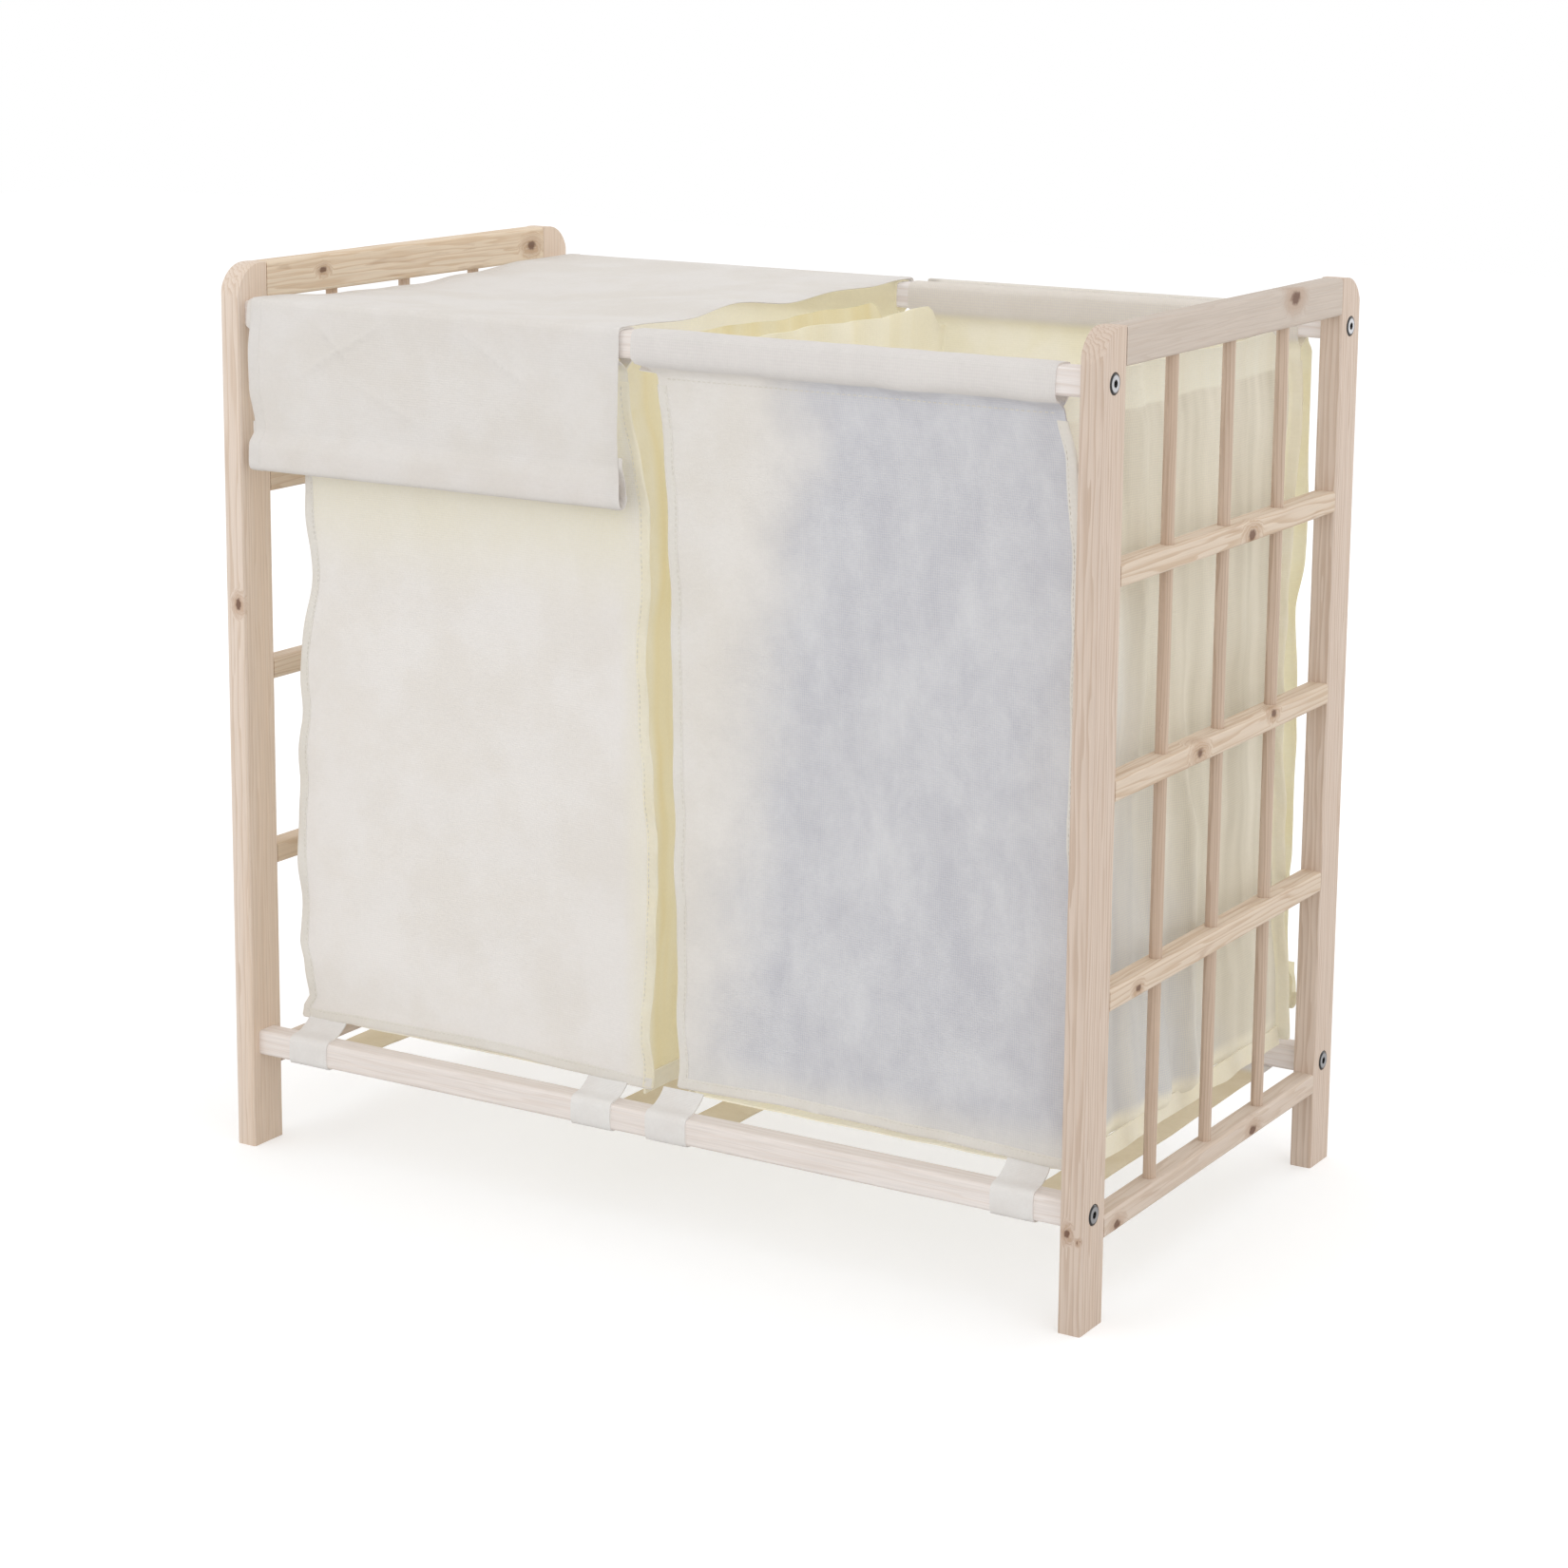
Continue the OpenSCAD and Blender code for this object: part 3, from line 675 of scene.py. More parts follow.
def sewLid(side):
    form = lidForm(side)
    hinge, fold, lid, flap = form.hinge, form.fold, side + "_lid", side + "_flap"
    if form.shape["closed"]:
        split, held, bar = hinge.y - form.shape["split"], "draped", "front_top_bar"
    else:
        split, held, bar = form.shape["split"], "hung", "rear_top_bar"
    tail, thickness = -lidCloth["tail"], lidCloth["thickness"]
    rear, rearSize = form.rearPlace(tail, split), (form.width, split - tail)
    front, frontLength = form.frontPlace(split)
    frontSize = (form.width, frontLength)
    rearPiece = clothSheet(f"{side}LidRear", rear, rearSize, (72, 70), thickness, -1)
    frontPiece = clothSheet(f"{side}LidFront", front, frontSize, (140, 190), thickness, -1)
    rearHems, frontHems = ([
        edgeTape(f"{side}Lid{label}Hem{edge.capitalize()}", place, edge, size, lidCloth["hem"],
                 lidCloth["hemTape"], thickness, cells=150, span=(0.0, end))
        for edge in ("left", "right")]
        for label, place, size, end in (("Rear", rear, rearSize, 1.0),
                                        ("Front", front, frontSize, 0.93)))
    for piece in (rearPiece, *rearHems):
        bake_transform(piece)
    for piece in (frontPiece, *frontHems):
        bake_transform(piece)
    pieces = [rearPiece, frontPiece, *rearHems, *frontHems]
    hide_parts(lid)
    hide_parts(flap)
    return pieces


lidPieces = {side: sewLid(side) for side in lids}
print("lids made")


# stitches: one short thread for every step along a seam line
def stitchTree():
    tree = bpy.data.node_groups.new("stitchRow", "GeometryNodeTree")
    socket = tree.interface.new_socket
    socket("Geometry", in_out="INPUT", socket_type="NodeSocketGeometry")
    for label, value in (("Stitch Step", 0.0034), ("Stitch Length", 0.0024),
                         ("Thread Width", 0.00055)):
        socket(label, in_out="INPUT", socket_type="NodeSocketFloat").default_value = value
    socket("Thread", in_out="INPUT", socket_type="NodeSocketMaterial")
    socket("Geometry", in_out="OUTPUT", socket_type="NodeSocketGeometry")
    given = tree.nodes.new("NodeGroupInput").outputs
    result = tree.nodes.new("NodeGroupOutput").inputs
    curve = put(tree, "GeometryNodeMeshToCurve", links={"Mesh": given["Geometry"]})
    spread = put(tree, "GeometryNodeCurveToPoints", mode="LENGTH", links={
        "Curve": curve.outputs["Curve"], "Length": given["Stitch Step"]}).outputs
    thread = put(tree, "GeometryNodeMeshUVSphere", {"Segments": 6, "Rings": 5, "Radius": 0.5})
    shape = put(tree, "ShaderNodeCombineXYZ", links={
        "X": given["Stitch Length"], "Y": given["Thread Width"], "Z": given["Thread Width"]})
    turn = put(tree, "FunctionNodeAlignRotationToVector", axis="X",
               links={"Vector": spread["Tangent"]})
    laid = put(tree, "GeometryNodeInstanceOnPoints", links={
        "Points": spread["Points"], "Instance": thread.outputs["Mesh"],
        "Rotation": turn.outputs["Rotation"], "Scale": shape.outputs["Vector"]})
    solid = put(tree, "GeometryNodeRealizeInstances",
                links={"Geometry": laid.outputs["Instances"]})
    finish = put(tree, "GeometryNodeSetMaterial", links={
        "Geometry": solid.outputs["Geometry"], "Material": given["Thread"]})
    tree.links.new(finish.outputs["Geometry"], result["Geometry"])
    return tree


stitch = {"Stitch Step": 0.0036, "Stitch Length": 0.0027, "Thread Width": 0.00062}
sewing = stitchTree()


def sewRows(name, rows, thread):
    points, edges = [], []
    for row in rows:
        first = len(points)
        points += [tuple(map(float, p)) for p in row]
        edges += [(first + i, first + i + 1) for i in range(len(row) - 1)]
    mesh = bpy.data.meshes.new(name)
    mesh.from_pydata(points, edges, [])
    seam = placed(name, mesh)
    work = seam.modifiers.new("stitches", "NODES")
    work.node_group = sewing
    for item in sewing.interface.items_tree:
        if item.item_type == "SOCKET" and item.in_out == "INPUT":
            if item.name in stitch:
                work[item.identifier] = stitch[item.name]
            elif item.name == "Thread":
                work[item.identifier] = thread
    bake(seam)
    seam.data.polygons.foreach_set("use_smooth", [True] * len(seam.data.polygons))
    return seam


# colours are given as they look on a screen, 0 to 255
def tone(r, g, b):
    def straight(c):
        c = c / 255
        return c / 12.92 if c <= 0.04045 else ((c + 0.055) / 1.055) ** 2.4
    return (straight(r), straight(g), straight(b), 1.0)


def newGroup(name, inputs, outputs):
    tree = bpy.data.node_groups.new(name, "ShaderNodeTree")
    for label, kind, value in inputs:
        sock = tree.interface.new_socket(label, in_out="INPUT", socket_type="NodeSocket" + kind)
        if value is not None:
            sock.default_value = value
    for label, kind in outputs:
        tree.interface.new_socket(label, in_out="OUTPUT", socket_type="NodeSocket" + kind)
    return tree, tree.nodes.new("NodeGroupInput").outputs, tree.nodes.new("NodeGroupOutput").inputs


# sets each input of a node to a plain value, or links it to another node's output
def feed(tree, node, pairs):
    for key, value in pairs:
        if isinstance(value, (int, float, tuple)):
            node.inputs[key].default_value = value
        else:
            tree.links.new(value, node.inputs[key])


def calc(tree, operation, *values):
    node = put(tree, "ShaderNodeMath", operation=operation)
    feed(tree, node, enumerate(values))
    return node.outputs[0]


def mixColor(tree, factor, a, b, blend="MIX"):
    node = put(tree, "ShaderNodeMix", data_type="RGBA", blend_type=blend)
    feed(tree, node, ((0, factor), (6, a), (7, b)))
    return node.outputs[2]


def noise(tree, vector, scale, detail, roughness=0.5, distortion=0.0):
    return put(tree, "ShaderNodeTexNoise",
               {"Scale": scale, "Detail": detail, "Roughness": roughness,
                "Distortion": distortion}, {"Vector": vector}).outputs[0]


# brings a value from one range to another, softly at both ends if asked
def remap(tree, value, low, high, newLow=0.0, newHigh=1.0, soft=False):
    return put(tree, "ShaderNodeMapRange",
               {"From Min": low, "From Max": high, "To Min": newLow, "To Max": newHigh},
               {"Value": value},
               interpolation_type="SMOOTHSTEP" if soft else "LINEAR").outputs[0]


def squeezed(tree, vector, upright):
    return put(tree, "ShaderNodeMapping", {"Scale": (1, 1, upright)},
               {"Vector": vector}).outputs[0]


def splitUp(tree, vector):
    return put(tree, "ShaderNodeSeparateXYZ", links={"Vector": vector}).outputs


# a colour made a little darker or lighter by a fine value
def speckled(tree, color, value, dark, light):
    fine = remap(tree, value, 0.3, 0.7, dark, light)
    grey = put(tree, "ShaderNodeCombineColor", links={k: fine for k in ("Red", "Green", "Blue")})
    return mixColor(tree, 1.0, color, grey.outputs[0], "MULTIPLY")


def newMaterial(name):
    material = bpy.data.materials.new(name)
    material.use_nodes = True
    tree = material.node_tree
    coords = put(tree, "ShaderNodeTexCoord").outputs
    return material, tree, tree.nodes["Principled BSDF"], coords


# what every surface here ends with: colour, roughness that follows a grain, and bump
def finishSurface(tree, color, grain, rough, height, strength, distance):
    shader = tree.nodes["Principled BSDF"]
    tree.links.new(color, shader.inputs["Base Color"])
    tree.links.new(remap(tree, grain, 0.0, 1.0, *rough), shader.inputs["Roughness"])
    bump = put(tree, "ShaderNodeBump", {"Strength": strength, "Distance": distance},
               {"Height": height})
    tree.links.new(bump.outputs[0], shader.inputs["Normal"])


# pine: growth rings, fine fibre and pores along Z of the vector it is given
def woodGroup():
    tree, given, result = newGroup(
        "pineGrain",
        [("Vector", "Vector", None), ("Ring Width", "Float", 0.004), ("Wander", "Float", 1.0)],
        [("Rings", "Float"), ("Fibre", "Float"), ("Patches", "Float"), ("Streaks", "Float"),
         ("Height", "Float")])
    long = squeezed(tree, given["Vector"], 0.055)
    drift = noise(tree, long, 22.0, 3.0)
    xyz = splitUp(tree, given["Vector"])
    across = calc(tree, "MULTIPLY_ADD", xyz["X"], 0.62, calc(tree, "MULTIPLY", xyz["Y"], 0.78))
    wobble = calc(tree, "MULTIPLY", calc(tree, "SUBTRACT", drift, 0.5), 0.030)
    lead = calc(tree, "MULTIPLY_ADD", wobble, given["Wander"], across)
    uneven = calc(tree, "SUBTRACT", noise(tree, long, 260.0, 1.0), 0.5)
    phase = calc(tree, "MULTIPLY_ADD", uneven, 1.9,
                 calc(tree, "DIVIDE", lead, given["Ring Width"]))
    # each ring darkens slowly, then ends at once
    ring = put(tree, "ShaderNodeFloatCurve", links={"Value": calc(tree, "FRACT", phase)})
    curve = ring.mapping.curves[0]
    curve.points[0].location = (0.0, 0.12)
    curve.points[1].location = (1.0, 0.14)
    for x, y in ((0.45, 0.22), (0.78, 0.85), (0.90, 1.0)):
        curve.points.new(x, y)
    ring.mapping.update()
    fibre = noise(tree, squeezed(tree, given["Vector"], 0.018), 1500.0, 2.0, 0.6)
    vein = noise(tree, squeezed(tree, given["Vector"], 0.09), 150.0, 3.0, 0.55, 0.5)
    rise = calc(tree, "MULTIPLY_ADD", fibre, 0.6,
                calc(tree, "MULTIPLY", ring.outputs[0], -0.4))
    for label, value in (("Rings", ring.outputs[0]), ("Fibre", fibre),
                         ("Patches", noise(tree, long, 14.0, 2.0)),
                         ("Streaks", remap(tree, vein, 0.60, 0.70, soft=True)),
                         ("Height", rise)):
        tree.links.new(value, result[label])
    return tree


# one knot: how dark its heart and its rim are, at a place and of a size
def knotGroup():
    tree, given, result = newGroup(
        "knot", [("Vector", "Vector", None), ("Place", "Vector", None), ("Size", "Float", 0.004)],
        [("Heart", "Float"), ("Rim", "Float")])
    away = put(tree, "ShaderNodeVectorMath", links={0: given["Vector"], 1: given["Place"]},
               operation="SUBTRACT")
    edge = calc(tree, "SUBTRACT", noise(tree, given["Vector"], 260.0, 3.0), 0.5)
    shape = squeezed(tree, away.outputs[0], 0.62)
    size = put(tree, "ShaderNodeVectorMath", links={0: shape}, operation="LENGTH")
    ragged = calc(tree, "MULTIPLY_ADD", edge, 0.0035, size.outputs["Value"])
    reach = calc(tree, "DIVIDE", ragged, given["Size"])
    tree.links.new(remap(tree, reach, 1.0, 0.5, soft=True), result["Heart"])
    tree.links.new(remap(tree, reach, 2.8, 0.9, soft=True), result["Rim"])
    return tree


grainGroup, oneKnot = woodGroup(), knotGroup()


# along says which way the grain runs; knots are (x, y, z, size) in metres
def woodMaterial(name, look, along, knots=()):
    material, tree, shader, coords = newMaterial(name)
    turn = {"z": (0, 0, 0), "y": (math.pi / 2, 0, 0), "x": (0, math.pi / 2, 0)}[along]
    turn = {"Rotation": turn, "Location": look.get("shift", (0, 0, 0))}
    turned = put(tree, "ShaderNodeMapping", turn, {"Vector": coords["Object"]}).outputs[0]
    marks, bend = [], 0.0
    for x, y, z, size in knots:
        place = put(tree, "ShaderNodeMapping", {**turn, "Vector": (x, y, z)})
        knot = put(tree, "ShaderNodeGroup", node_tree=oneKnot)
        tree.links.new(turned, knot.inputs["Vector"])
        tree.links.new(place.outputs[0], knot.inputs["Place"])
        knot.inputs["Size"].default_value = size
        marks.append(knot.outputs)
        bend = calc(tree, "MULTIPLY_ADD", knot.outputs["Rim"], size * 1.6, bend)
    # the grain bends round the knots
    away = put(tree, "ShaderNodeCombineXYZ", links={"X": bend, "Y": bend} if marks else {})
    bent = put(tree, "ShaderNodeVectorMath", links={0: turned, 1: away.outputs[0]},
               operation="ADD")
    group = put(tree, "ShaderNodeGroup", node_tree=grainGroup)
    group.inputs["Ring Width"].default_value = look["ring"]
    group.inputs["Wander"].default_value = look["wander"]
    tree.links.new(bent.outputs[0], group.inputs["Vector"])
    grain = group.outputs
    color = mixColor(tree, calc(tree, "MULTIPLY", grain["Rings"], look["contrast"]),
                     look["light"], look["dark"])
    color = mixColor(tree, remap(tree, grain["Patches"], 0.42, 0.62, 0.0, 0.55), color,
                     look["warm"])
    color = mixColor(tree, calc(tree, "MULTIPLY", grain["Streaks"], look["streaks"]), color,
                     look["rim"])
    color = speckled(tree, color, grain["Fibre"], 0.93, 1.04)
    for mark in marks:
        for part, share in (("Rim", 0.40), ("Heart", 0.80)):
            color = mixColor(tree, calc(tree, "MULTIPLY", mark[part], share), color,
                             look[part.lower()])
    finishSurface(tree, color, grain["Fibre"], (0.55, 0.70), grain["Height"], 0.22, 0.0004)
    shader.inputs["Specular IOR Level"].default_value = 0.22
    return material


# spun cloth: a fine embossed grid of diamonds, clouds of fibre and faint crumples, on its UV
def clothGroup():
    tree, given, result = newGroup(
        "spunCloth",
        [("Flat", "Vector", None), ("Space", "Vector", None), ("Pitch", "Float", 0.0024)],
        [("Dots", "Float"), ("Clouds", "Float"), ("Mottle", "Float"), ("Bands", "Float"),
         ("Fibres", "Float"), ("Height", "Float")])
    turned = put(tree, "ShaderNodeMapping", {"Rotation": (0, 0, math.radians(45))},
                 {"Vector": given["Flat"]})
    xyz = splitUp(tree, turned.outputs[0])
    rate = calc(tree, "DIVIDE", math.tau, given["Pitch"])
    sines = [calc(tree, "SINE", calc(tree, "MULTIPLY", xyz[k], rate)) for k in (0, 1)]
    dots = calc(tree, "MULTIPLY_ADD", calc(tree, "MULTIPLY", *sines), 0.5, 0.5)
    space = given["Space"]
    fibres = noise(tree, given["Flat"], 420.0, 3.0, 0.7)
    crumple = noise(tree, space, 38.0, 4.0, 0.55, 0.6)
    rise = calc(tree, "MULTIPLY_ADD", dots, 0.32, calc(tree, "MULTIPLY", fibres, 0.35))
    rise = calc(tree, "MULTIPLY_ADD", crumple, 1.4, rise)
    for label, value in (("Dots", dots), ("Clouds", noise(tree, space, 17.0, 5.0, 0.62)),
                         ("Mottle", noise(tree, squeezed(tree, space, 0.62), 34.0, 8.0, 0.70,
                                          0.2)),
                         ("Bands", noise(tree, squeezed(tree, space, 0.10), 46.0, 2.0)),
                         ("Fibres", fibres), ("Height", rise)):
        tree.links.new(value, result[label])
    return tree


spun = clothGroup()


# how far a point has come along the way from one place to another, with a ragged front
def wayMask(tree, first, second, way, rough, ragged):
    (a0, z0), (a1, z1) = way
    da, dz = a1 - a0, z1 - z0
    size = da * da + dz * dz
    run = calc(tree, "ADD", calc(tree, "MULTIPLY", first, da / size),
               calc(tree, "MULTIPLY", second, dz / size))
    run = calc(tree, "SUBTRACT", run, (a0 * da + z0 * dz) / size)
    run = calc(tree, "MULTIPLY_ADD", calc(tree, "SUBTRACT", rough, 0.5), ragged, run)
    return remap(tree, run, 0.0, 1.0, soft=True)


# each zone of a look tints the cloth past a line: its axis, the way it fades in, and two tones
def clothMaterial(name, look):
    material, tree, shader, coords = newMaterial(name)
    group = put(tree, "ShaderNodeGroup", node_tree=spun)
    group.inputs["Pitch"].default_value = look["pitch"]
    tree.links.new(coords["UV"], group.inputs["Flat"])
    tree.links.new(coords["Object"], group.inputs["Space"])
    cloths, xyz = group.outputs, splitUp(tree, coords["Object"])
    color = mixColor(tree, remap(tree, cloths["Clouds"], 0.36, 0.64, soft=True), look["light"],
                     look["dark"])
    blotch = remap(tree, cloths[look.get("blotch", "Mottle")], 0.34, 0.66)
    for axis, way, light, dark, ragged in look.get("zones", ()):
        mask = wayMask(tree, xyz[axis], xyz["Z"], way, cloths["Clouds"], ragged)
        there = mixColor(tree, blotch, light, dark)
        there = mixColor(tree, calc(tree, "MULTIPLY", cloths["Dots"], look["mesh"]), there,
                         look["light"])
        color = mixColor(tree, mask, color, there)
    color = speckled(tree, color, cloths["Fibres"], 0.98, 1.015)
    finishSurface(tree, color, cloths["Fibres"], (0.78, 0.92), cloths["Height"], look["bump"],
                  0.0006)
    shader.inputs["Specular IOR Level"].default_value = 0.12
    if look["through"]:
        # thin cloth: a share of the light goes on through it, and it glows with the light behind
        paths = put(tree, "ShaderNodeLightPath").outputs
        passing = calc(tree, "MAXIMUM", paths["Is Shadow Ray"], paths["Is Diffuse Ray"])
        tree.links.new(calc(tree, "MULTIPLY_ADD", passing, -look["through"], 1.0),
                       shader.inputs["Alpha"])
        behind = put(tree, "ShaderNodeBsdfTranslucent", links={"Color": color})
        share = calc(tree, "MULTIPLY_ADD", passing, -look["share"], look["share"])
        both = put(tree, "ShaderNodeMixShader",
                   links={0: share, 1: shader.outputs[0], 2: behind.outputs[0]})
        tree.links.new(both.outputs[0], tree.nodes["Material Output"].inputs["Surface"])
    return material


def metalMaterial(name, look):
    material, tree, shader, coords = newMaterial(name)
    scratch = noise(tree, coords["Object"], 900.0, 3.0)
    color = mixColor(tree, noise(tree, coords["Object"], 140.0, 3.0), look["light"], look["dark"])
    if "rings" in look:
        # painted shade in the gap at the rim of each head and in the hollow of its socket, by the
        # way out from the bolt's middle
        xyz = splitUp(tree, coords["Object"])
        away, *heights = look["rings"]
        y = calc(tree, "SUBTRACT", calc(tree, "ABSOLUTE", xyz["Y"]), away)
        z = calc(tree, "MINIMUM", *[calc(tree, "ABSOLUTE", calc(
            tree, "SUBTRACT", xyz["Z"], height)) for height in heights])
        out = calc(tree, "SQRT", calc(tree, "MULTIPLY_ADD", y, y,
                                      calc(tree, "MULTIPLY", z, z)))
        recessShade = calc(tree, "MAXIMUM", remap(tree, out, *look["rim"]),
                     remap(tree, out, *look["socket"]))
        color = mixColor(tree, recessShade, color, look["recessShade"])
        tree.links.new(calc(tree, "SUBTRACT", 1.0, recessShade), shader.inputs["Metallic"])
    else:
        shader.inputs["Metallic"].default_value = 1.0
    finishSurface(tree, color, scratch, look["rough"], scratch, 0.15, 0.0002)
    return material


# a look taken from another one, with its own tones
def weave(base, light, dark, **more):
    return {**base, "light": tone(*light), "dark": tone(*dark), **more}


def wood(base, light, dark, warm, **more):
    return weave(base, light, dark, warm=tone(*warm), **more)


def zone(axis, start, end, light, dark, ragged=0.0):
    return axis, (start, end), tone(*light), tone(*dark), ragged


rightFace, leftFace = solidBox[1].x, solidBox[0].x
frontFace, rearFace = solidBox[0].y, solidBox[1].y
pine = {"light": tone(226, 209, 190), "dark": tone(201, 173, 144), "warm": tone(214, 189, 160),
        "rim": tone(168, 126, 90), "heart": tone(98, 62, 44), "ring": 0.0034, "contrast": 0.7,
        "wander": 1.3, "streaks": 0.30}
sawn = wood(pine, (222, 204, 189), (200, 176, 156), (214, 190, 167), ring=0.0026, wander=0.40,
            contrast=0.75, streaks=0.06)
turned = wood(pine, (212, 191, 172), (185, 159, 138), (204, 177, 153), ring=0.0019, wander=0.5,
              streaks=0.05)
cream = {"light": tone(236, 232, 227), "dark": tone(232, 227, 220), "pitch": 0.0021, "bump": 0.35,
         "through": 0.84, "share": 0.10, "mesh": 0.35}
# yellower cream for the walls and rear sheets: painted glow of light coming through the same cream
# cloth
glowWallCream = weave(cream, (253, 246, 221), (249, 240, 207), share=0.42)
woods = {
    "postWood": (sawn, "z", [
        (rightFace - 0.0060, rearFace, 0.240, 0.0034),
        (rightFace - 0.0105, frontFace, 0.063, 0.0022),
        (rightFace - 0.0040, frontFace, 0.0585, 0.0008),
        (rightFace - 0.0012, frontFace, 0.0600, 0.0008)]),
    "leftPostWood": (wood(sawn, (236, 220, 206), (214, 191, 170), (228, 204, 180)), "z", [
        (leftFace + 0.0105, frontFace, 0.375, 0.0028)]),
    "topRailWood": (wood(pine, (211, 200, 191), (194, 179, 167), (203, 188, 173), ring=0.006,
                         wander=2.6, streaks=0.08, shift=(0.013, 0.02, 0.31)), "y", [
        (rightFace, 0.082, 0.5945, 0.0055)]),
    "warmRailWood": (wood(pine, (236, 219, 197), (212, 183, 151), (226, 199, 166), ring=0.0048,
                          wander=1.8), "y", [
        (leftFace + 0.015, -0.099, 0.590, 0.0026), (leftFace + 0.015, 0.143, 0.588, 0.0042)]),
    "railWood": (pine, "y", [
        (rightFace - 0.001, 0.027, 0.452, 0.0042), (rightFace - 0.003, -0.041, 0.327, 0.0046),
        (rightFace - 0.001, 0.070, 0.331, 0.0032), (rightFace, -0.120, 0.198, 0.0028),
        (leftFace + 0.015, 0.060, 0.326, 0.0040), (leftFace + 0.015, -0.05, 0.198, 0.0030)]),
    "lowRailWood": (wood(pine, (222, 207, 194), (203, 182, 162), (214, 194, 174), wander=2.2,
                         ring=0.005, streaks=0.15), "y", [
        (rightFace - 0.0005, 0.059, 0.0565, 0.0040),
        (rightFace - 0.0005, -0.141, 0.0560, 0.0036)]),
    "barWood": (wood(sawn, (244, 238, 235), (228, 216, 208), (237, 226, 217), ring=0.0035),
                "x", []),
    "spindleWood": (turned, "z", [(rightFace - 0.0065, -0.0925, 0.351, 0.0030)]),
    "slatWood": (turned, "x", []),
}
cloths = {
    "lidCloth": weave(cream, (233, 229, 225), (229, 224, 218)),
    # binding for the flanges and some tapes: yellower cream, painted glow of light through the
    # cloth
    "bindingCloth": weave(cream, (247, 241, 222), (244, 236, 212), share=0.20),
    "tapeCloth": weave(cream, (236, 232, 225), (233, 228, 219)),
    "threadCloth": weave(cream, (232, 228, 219), (224, 219, 209), through=0.0),
    # the left bag's walls: painted glow of light through the cloth, yellow on the right wall
    # between the bags, paler towards the left wall and floor
    "wallCloth": {**glowWallCream, "blotch": "Bands", "mesh": 0.0, "zones": (
        zone("Y", (-0.150, 0.0), (-0.140, 0.0), (252, 243, 209), (248, 235, 190)),
        zone("Y", (-0.1625, 0.0), (-0.1660, 0.0), (250, 241, 206), (246, 234, 190)),
        zone("X", (-0.06, 0.0), (-0.14, 0.0), (247, 242, 230), (244, 238, 222)))},
    # the left bag's rear sheet: painted glow of light through the cloth, yellow except towards its
    # left end
    "leftRearCloth": weave(glowWallCream, (252, 245, 215), (249, 240, 204), zones=(
        zone("X", (-0.03, 0.0), (-0.25, 0.0), (247, 242, 230), (244, 238, 222), 0.8),)),
    # the right bag's rear sheet: painted glow of light through the cloth, yellow below the casing,
    # plainer cream on the casing's top
    "rearCloth": weave(cream, (249, 243, 223), (246, 239, 213), share=0.34, zones=(
        zone("Y", (0.0, 0.5530), (0.0, 0.5600), (234, 229, 224), (230, 224, 218), 0.2),)),
    # the left bag's front: the yellow zones at both side edges and in its upper part are painted
    # glow of light through the cloth; the casing keeps the plain cream
    "leftFrontCloth": weave(cream, (240, 236, 232), (236, 231, 225), zones=(
        zone("Y", (0.0, 0.385), (0.0, 0.470), (241, 236, 218), (239, 233, 212), 0.3),
        zone("X", (leftFace + 0.030, 0.0), (leftFace + 0.008, 0.0), (241, 236, 216),
             (239, 233, 211), 0.2),
        zone("X", (-0.052, 0.44), (-0.018, 0.50), (243, 237, 212), (240, 233, 205), 0.2),
        zone("X", (-0.024, 0.0), (-0.006, 0.0), (240, 235, 222), (237, 231, 216), 0.2),
        zone("Y", (0.0, 0.5540), (0.0, 0.5560), (236, 232, 227), (231, 226, 219)))),
    # the right bag's walls: painted light and shade. The outer wall is less yellow and darker in
    # vertical bands, with painted grey shade towards its front and low, and painted lighter bands
    # at the top hem and the bottom seam; the inner wall between the bags has a yellow painted glow
    "outerWallCloth": {**glowWallCream, "bump": 0.5, "blotch": "Bands", "share": 0.16, "zones": (
        zone("X", (0.10, 0.0), (0.25, 0.0), (238, 232, 218), (215, 208, 192)),
        zone("Y", (0.034, 0.251), (-0.072, 0.190), (219, 218, 217), (200, 200, 204), 0.5),
        zone("Y", (0.0, 0.538), (0.0, 0.541), (243, 240, 226), (240, 235, 218)),
        zone("Y", (0.0, 0.108), (0.0, 0.098), (246, 241, 226), (242, 235, 215)),
        zone("X", (0.16, 0.0), (0.08, 0.0), (252, 246, 224), (249, 241, 211)))},
    # the right bag's front: painted shade, grey towards its lower right where less light comes
    # through the cloth; slightly greyer tones on the bottom edge and the casing
    "greyPanelCloth": {**cream, "bump": 0.6, "mesh": 0.42, "zones": (
        zone("X", (0.028, 0.262), (0.104, 0.250), (216, 217, 222), (194, 195, 204), 1.0),
        zone("X", (0.0, 0.126), (0.0, 0.096), (231, 228, 223), (220, 218, 215), 0.3),
        zone("X", (0.0, 0.5540), (0.0, 0.5560), (229, 225, 222), (223, 219, 216)))},
    # the open lid behind the right bag: painted glow of the light behind it on the strip past the
    # bag's right end; plainer cream further left and at the top
    "hungCloth": weave(cream, (254, 249, 224), (252, 245, 212), share=0.46, zones=(
        zone("X", (0.278, 0.0), (0.225, 0.0), (242, 238, 228), (238, 232, 220), 0.3),
        zone("Y", (0.0, 0.5560), (0.0, 0.5660), (234, 230, 226), (230, 225, 220)))),
    # straps: the part under the bag is painted tan-yellow, painted shade and glow there; plain
    # cream again at the rear
    "strapCloth": weave(cream, (238, 236, 233), (233, 229, 225), pitch=0.0016, share=0.08,
                        mesh=0.0, zones=(
        zone("Y", (-0.1500, 0.0), (-0.1380, 0.0), (237, 224, 198), (229, 214, 184)),
        zone("Y", (0.1450, 0.0), (0.1600, 0.0), (238, 236, 233), (233, 229, 225)))),
}
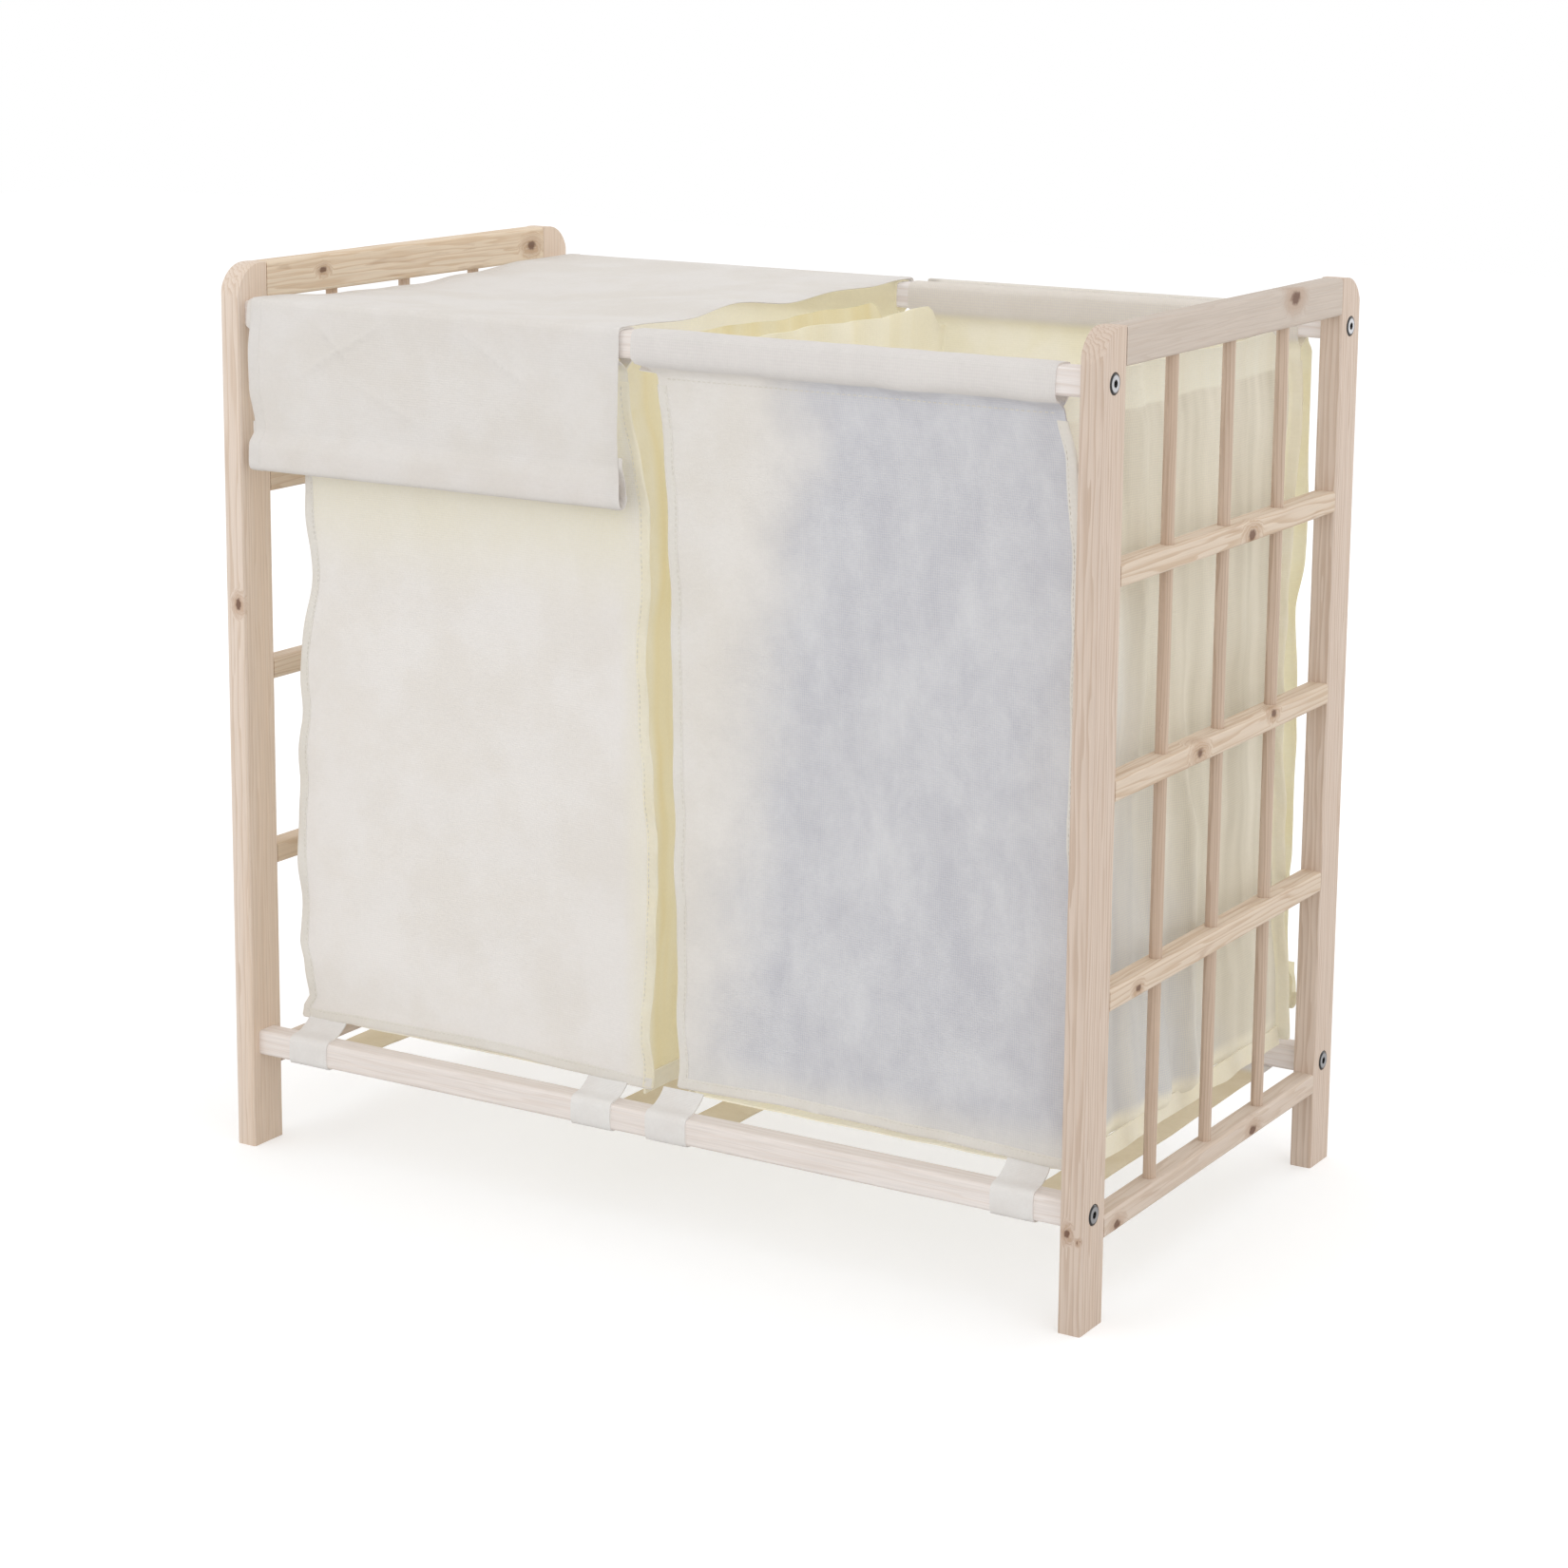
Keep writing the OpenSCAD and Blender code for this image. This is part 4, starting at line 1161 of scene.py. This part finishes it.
metals = {
    # the bolts' dark rim and socket tone is painted shade for the gap round each head and its
    # socket
    "boltSteel": {"light": (0.50, 0.50, 0.51, 1), "dark": (0.34, 0.34, 0.36, 1),
                  "rough": (0.28, 0.46), "recessShade": tone(38, 36, 36),
                  "rings": (barY, barZ, lowBarZ), "rim": (0.0046, 0.0053),
                  "socket": (0.0027, 0.0021)},
    "insertBrass": {"light": (0.78, 0.60, 0.30, 1), "dark": (0.62, 0.46, 0.22, 1),
                    "rough": (0.3, 0.5)},
}
materials = {name: woodMaterial(name, *look) for name, look in woods.items()}
materials |= {name: clothMaterial(name, look) for name, look in cloths.items()}
materials |= {name: metalMaterial(name, look) for name, look in metals.items()}


def dress(piece, material):
    piece.data.materials.clear()
    piece.data.materials.append(materials[material])


finishes = (("left_front_post", "leftPostWood"), ("left_rear_post", "leftPostWood"),
            ("post", "postWood"), ("rail_dowels", "spindleWood"),
            ("left_top_rail", "warmRailWood"), ("top_rail", "topRailWood"),
            ("bottom_rail", "lowRailWood"), ("rail", "railWood"),
            ("bar", "barWood"), ("spindle", "spindleWood"), ("slat", "slatWood"),
            ("bolts", "boltSteel"), ("inserts", "insertBrass"))
for node, piece in frame["nodes"].items():
    for ending, finish in finishes:
        if node.endswith(ending) and not piece.hide_render:
            for place in piece.material_slots:
                place.material = materials[finish]
            break
for side, pieces in bagPieces.items():
    for piece in pieces:
        name = piece.name
        # flanges, rear tapes and the left bag's right front tape take the yellower binding: painted
        # glow, which also lightens the flap's shadow on that tape
        if "Flange" in name or "RearTape" in name or "leftBagFrontTapeR" in name:
            dress(piece, "bindingCloth")
        elif "Tape" in name:
            dress(piece, "tapeCloth")
        elif "Rear" in name:
            dress(piece, "rearCloth" if side == "right" else "leftRearCloth")
        elif "Gusset" in name:
            dress(piece, "outerWallCloth" if side == "right" else "wallCloth")
        else:
            dress(piece, "greyPanelCloth" if side == "right" else "leftFrontCloth")
    for piece in lidPieces[side]:
        dress(piece, "lidCloth" if side == "left" else "hungCloth")
for piece in straps:
    dress(piece, "strapCloth")
print("materials made")

bagStitches = sewRows("bagStitches", seams, materials["threadCloth"])
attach(bagStitches, "frame")
print("stitches made")

# camera: a long lens, from the front right and a little above
eye = bpy.data.cameras.new("eye")
eye.lens, eye.sensor_width, eye.shift_y = 83.14, 36.0, -0.12
camera = placed("eye", eye)
camera.location = (1.2122, -2.0153, 0.8355)
yaw, pitch, roll = math.radians(31.07), math.radians(-10.87), math.radians(-0.48)
look = Vector((-math.sin(yaw) * math.cos(pitch), math.cos(yaw) * math.cos(pitch), math.sin(pitch)))
facing = look.to_track_quat("-Z", "Y").to_matrix().to_4x4()
camera.rotation_euler = (facing @ Euler((0, 0, -roll)).to_matrix().to_4x4()).to_euler()
bpy.context.scene.camera = camera

# floor and backdrop, white to the camera, and a soft even light
floorMesh = bpy.data.meshes.new("floor")
floorMesh.from_pydata([(-6, -6, 0), (6, -6, 0), (6, 6, 0), (-6, 6, 0)], [], [(0, 1, 2, 3)])
floor = placed("floor", floorMesh)
floorPaint = bpy.data.materials.new("floorPaint")
floorPaint.use_nodes = True
paintTree = floorPaint.node_tree
seen = put(paintTree, "ShaderNodeLightPath").outputs["Is Camera Ray"]
feed(paintTree, paintTree.nodes["Principled BSDF"], (
    ("Base Color", (0.74, 0.74, 0.74, 1)), ("Roughness", 0.9), ("Specular IOR Level", 0.0),
    ("Emission Color", (1, 1, 1, 1)),
    ("Emission Strength", calc(paintTree, "MULTIPLY", seen, 0.36))))
floorMesh.materials.append(floorPaint)

sky = bpy.data.worlds.new("studio")
sky.use_nodes = True
bpy.context.scene.world = sky
skyTree = sky.node_tree
rays = put(skyTree, "ShaderNodeLightPath").outputs
shown = calc(skyTree, "MAXIMUM", rays["Is Camera Ray"],
             calc(skyTree, "MAXIMUM", rays["Is Glossy Ray"], rays["Is Transmission Ray"]))
feed(skyTree, skyTree.nodes["Background"], (
    ("Color", (1, 1, 1, 1)), ("Strength", calc(skyTree, "MULTIPLY_ADD", shown, 0.05, 0.95))))
lamps = {"key": {"place": (-1.3, -2.7, 1.2), "size": 1.8, "power": 9},
         "fill": {"place": (2.7, -0.6, 0.9), "size": 2.0, "power": 5},
         "back": {"place": (0.9, 2.6, 0.8), "size": 2.0, "power": 14}}
middle = (solidBox[0] + solidBox[1]) / 2
for name, lamp in lamps.items():
    light = bpy.data.lights.new(name, "AREA")
    light.size, light.energy = lamp["size"], lamp["power"]
    holder = placed(name, light)
    holder.location = lamp["place"]
    holder.rotation_euler = (middle - Vector(lamp["place"])).to_track_quat("-Z", "Y").to_euler()
bpy.context.scene.view_settings.view_transform = "Standard"
print("camera and light made")
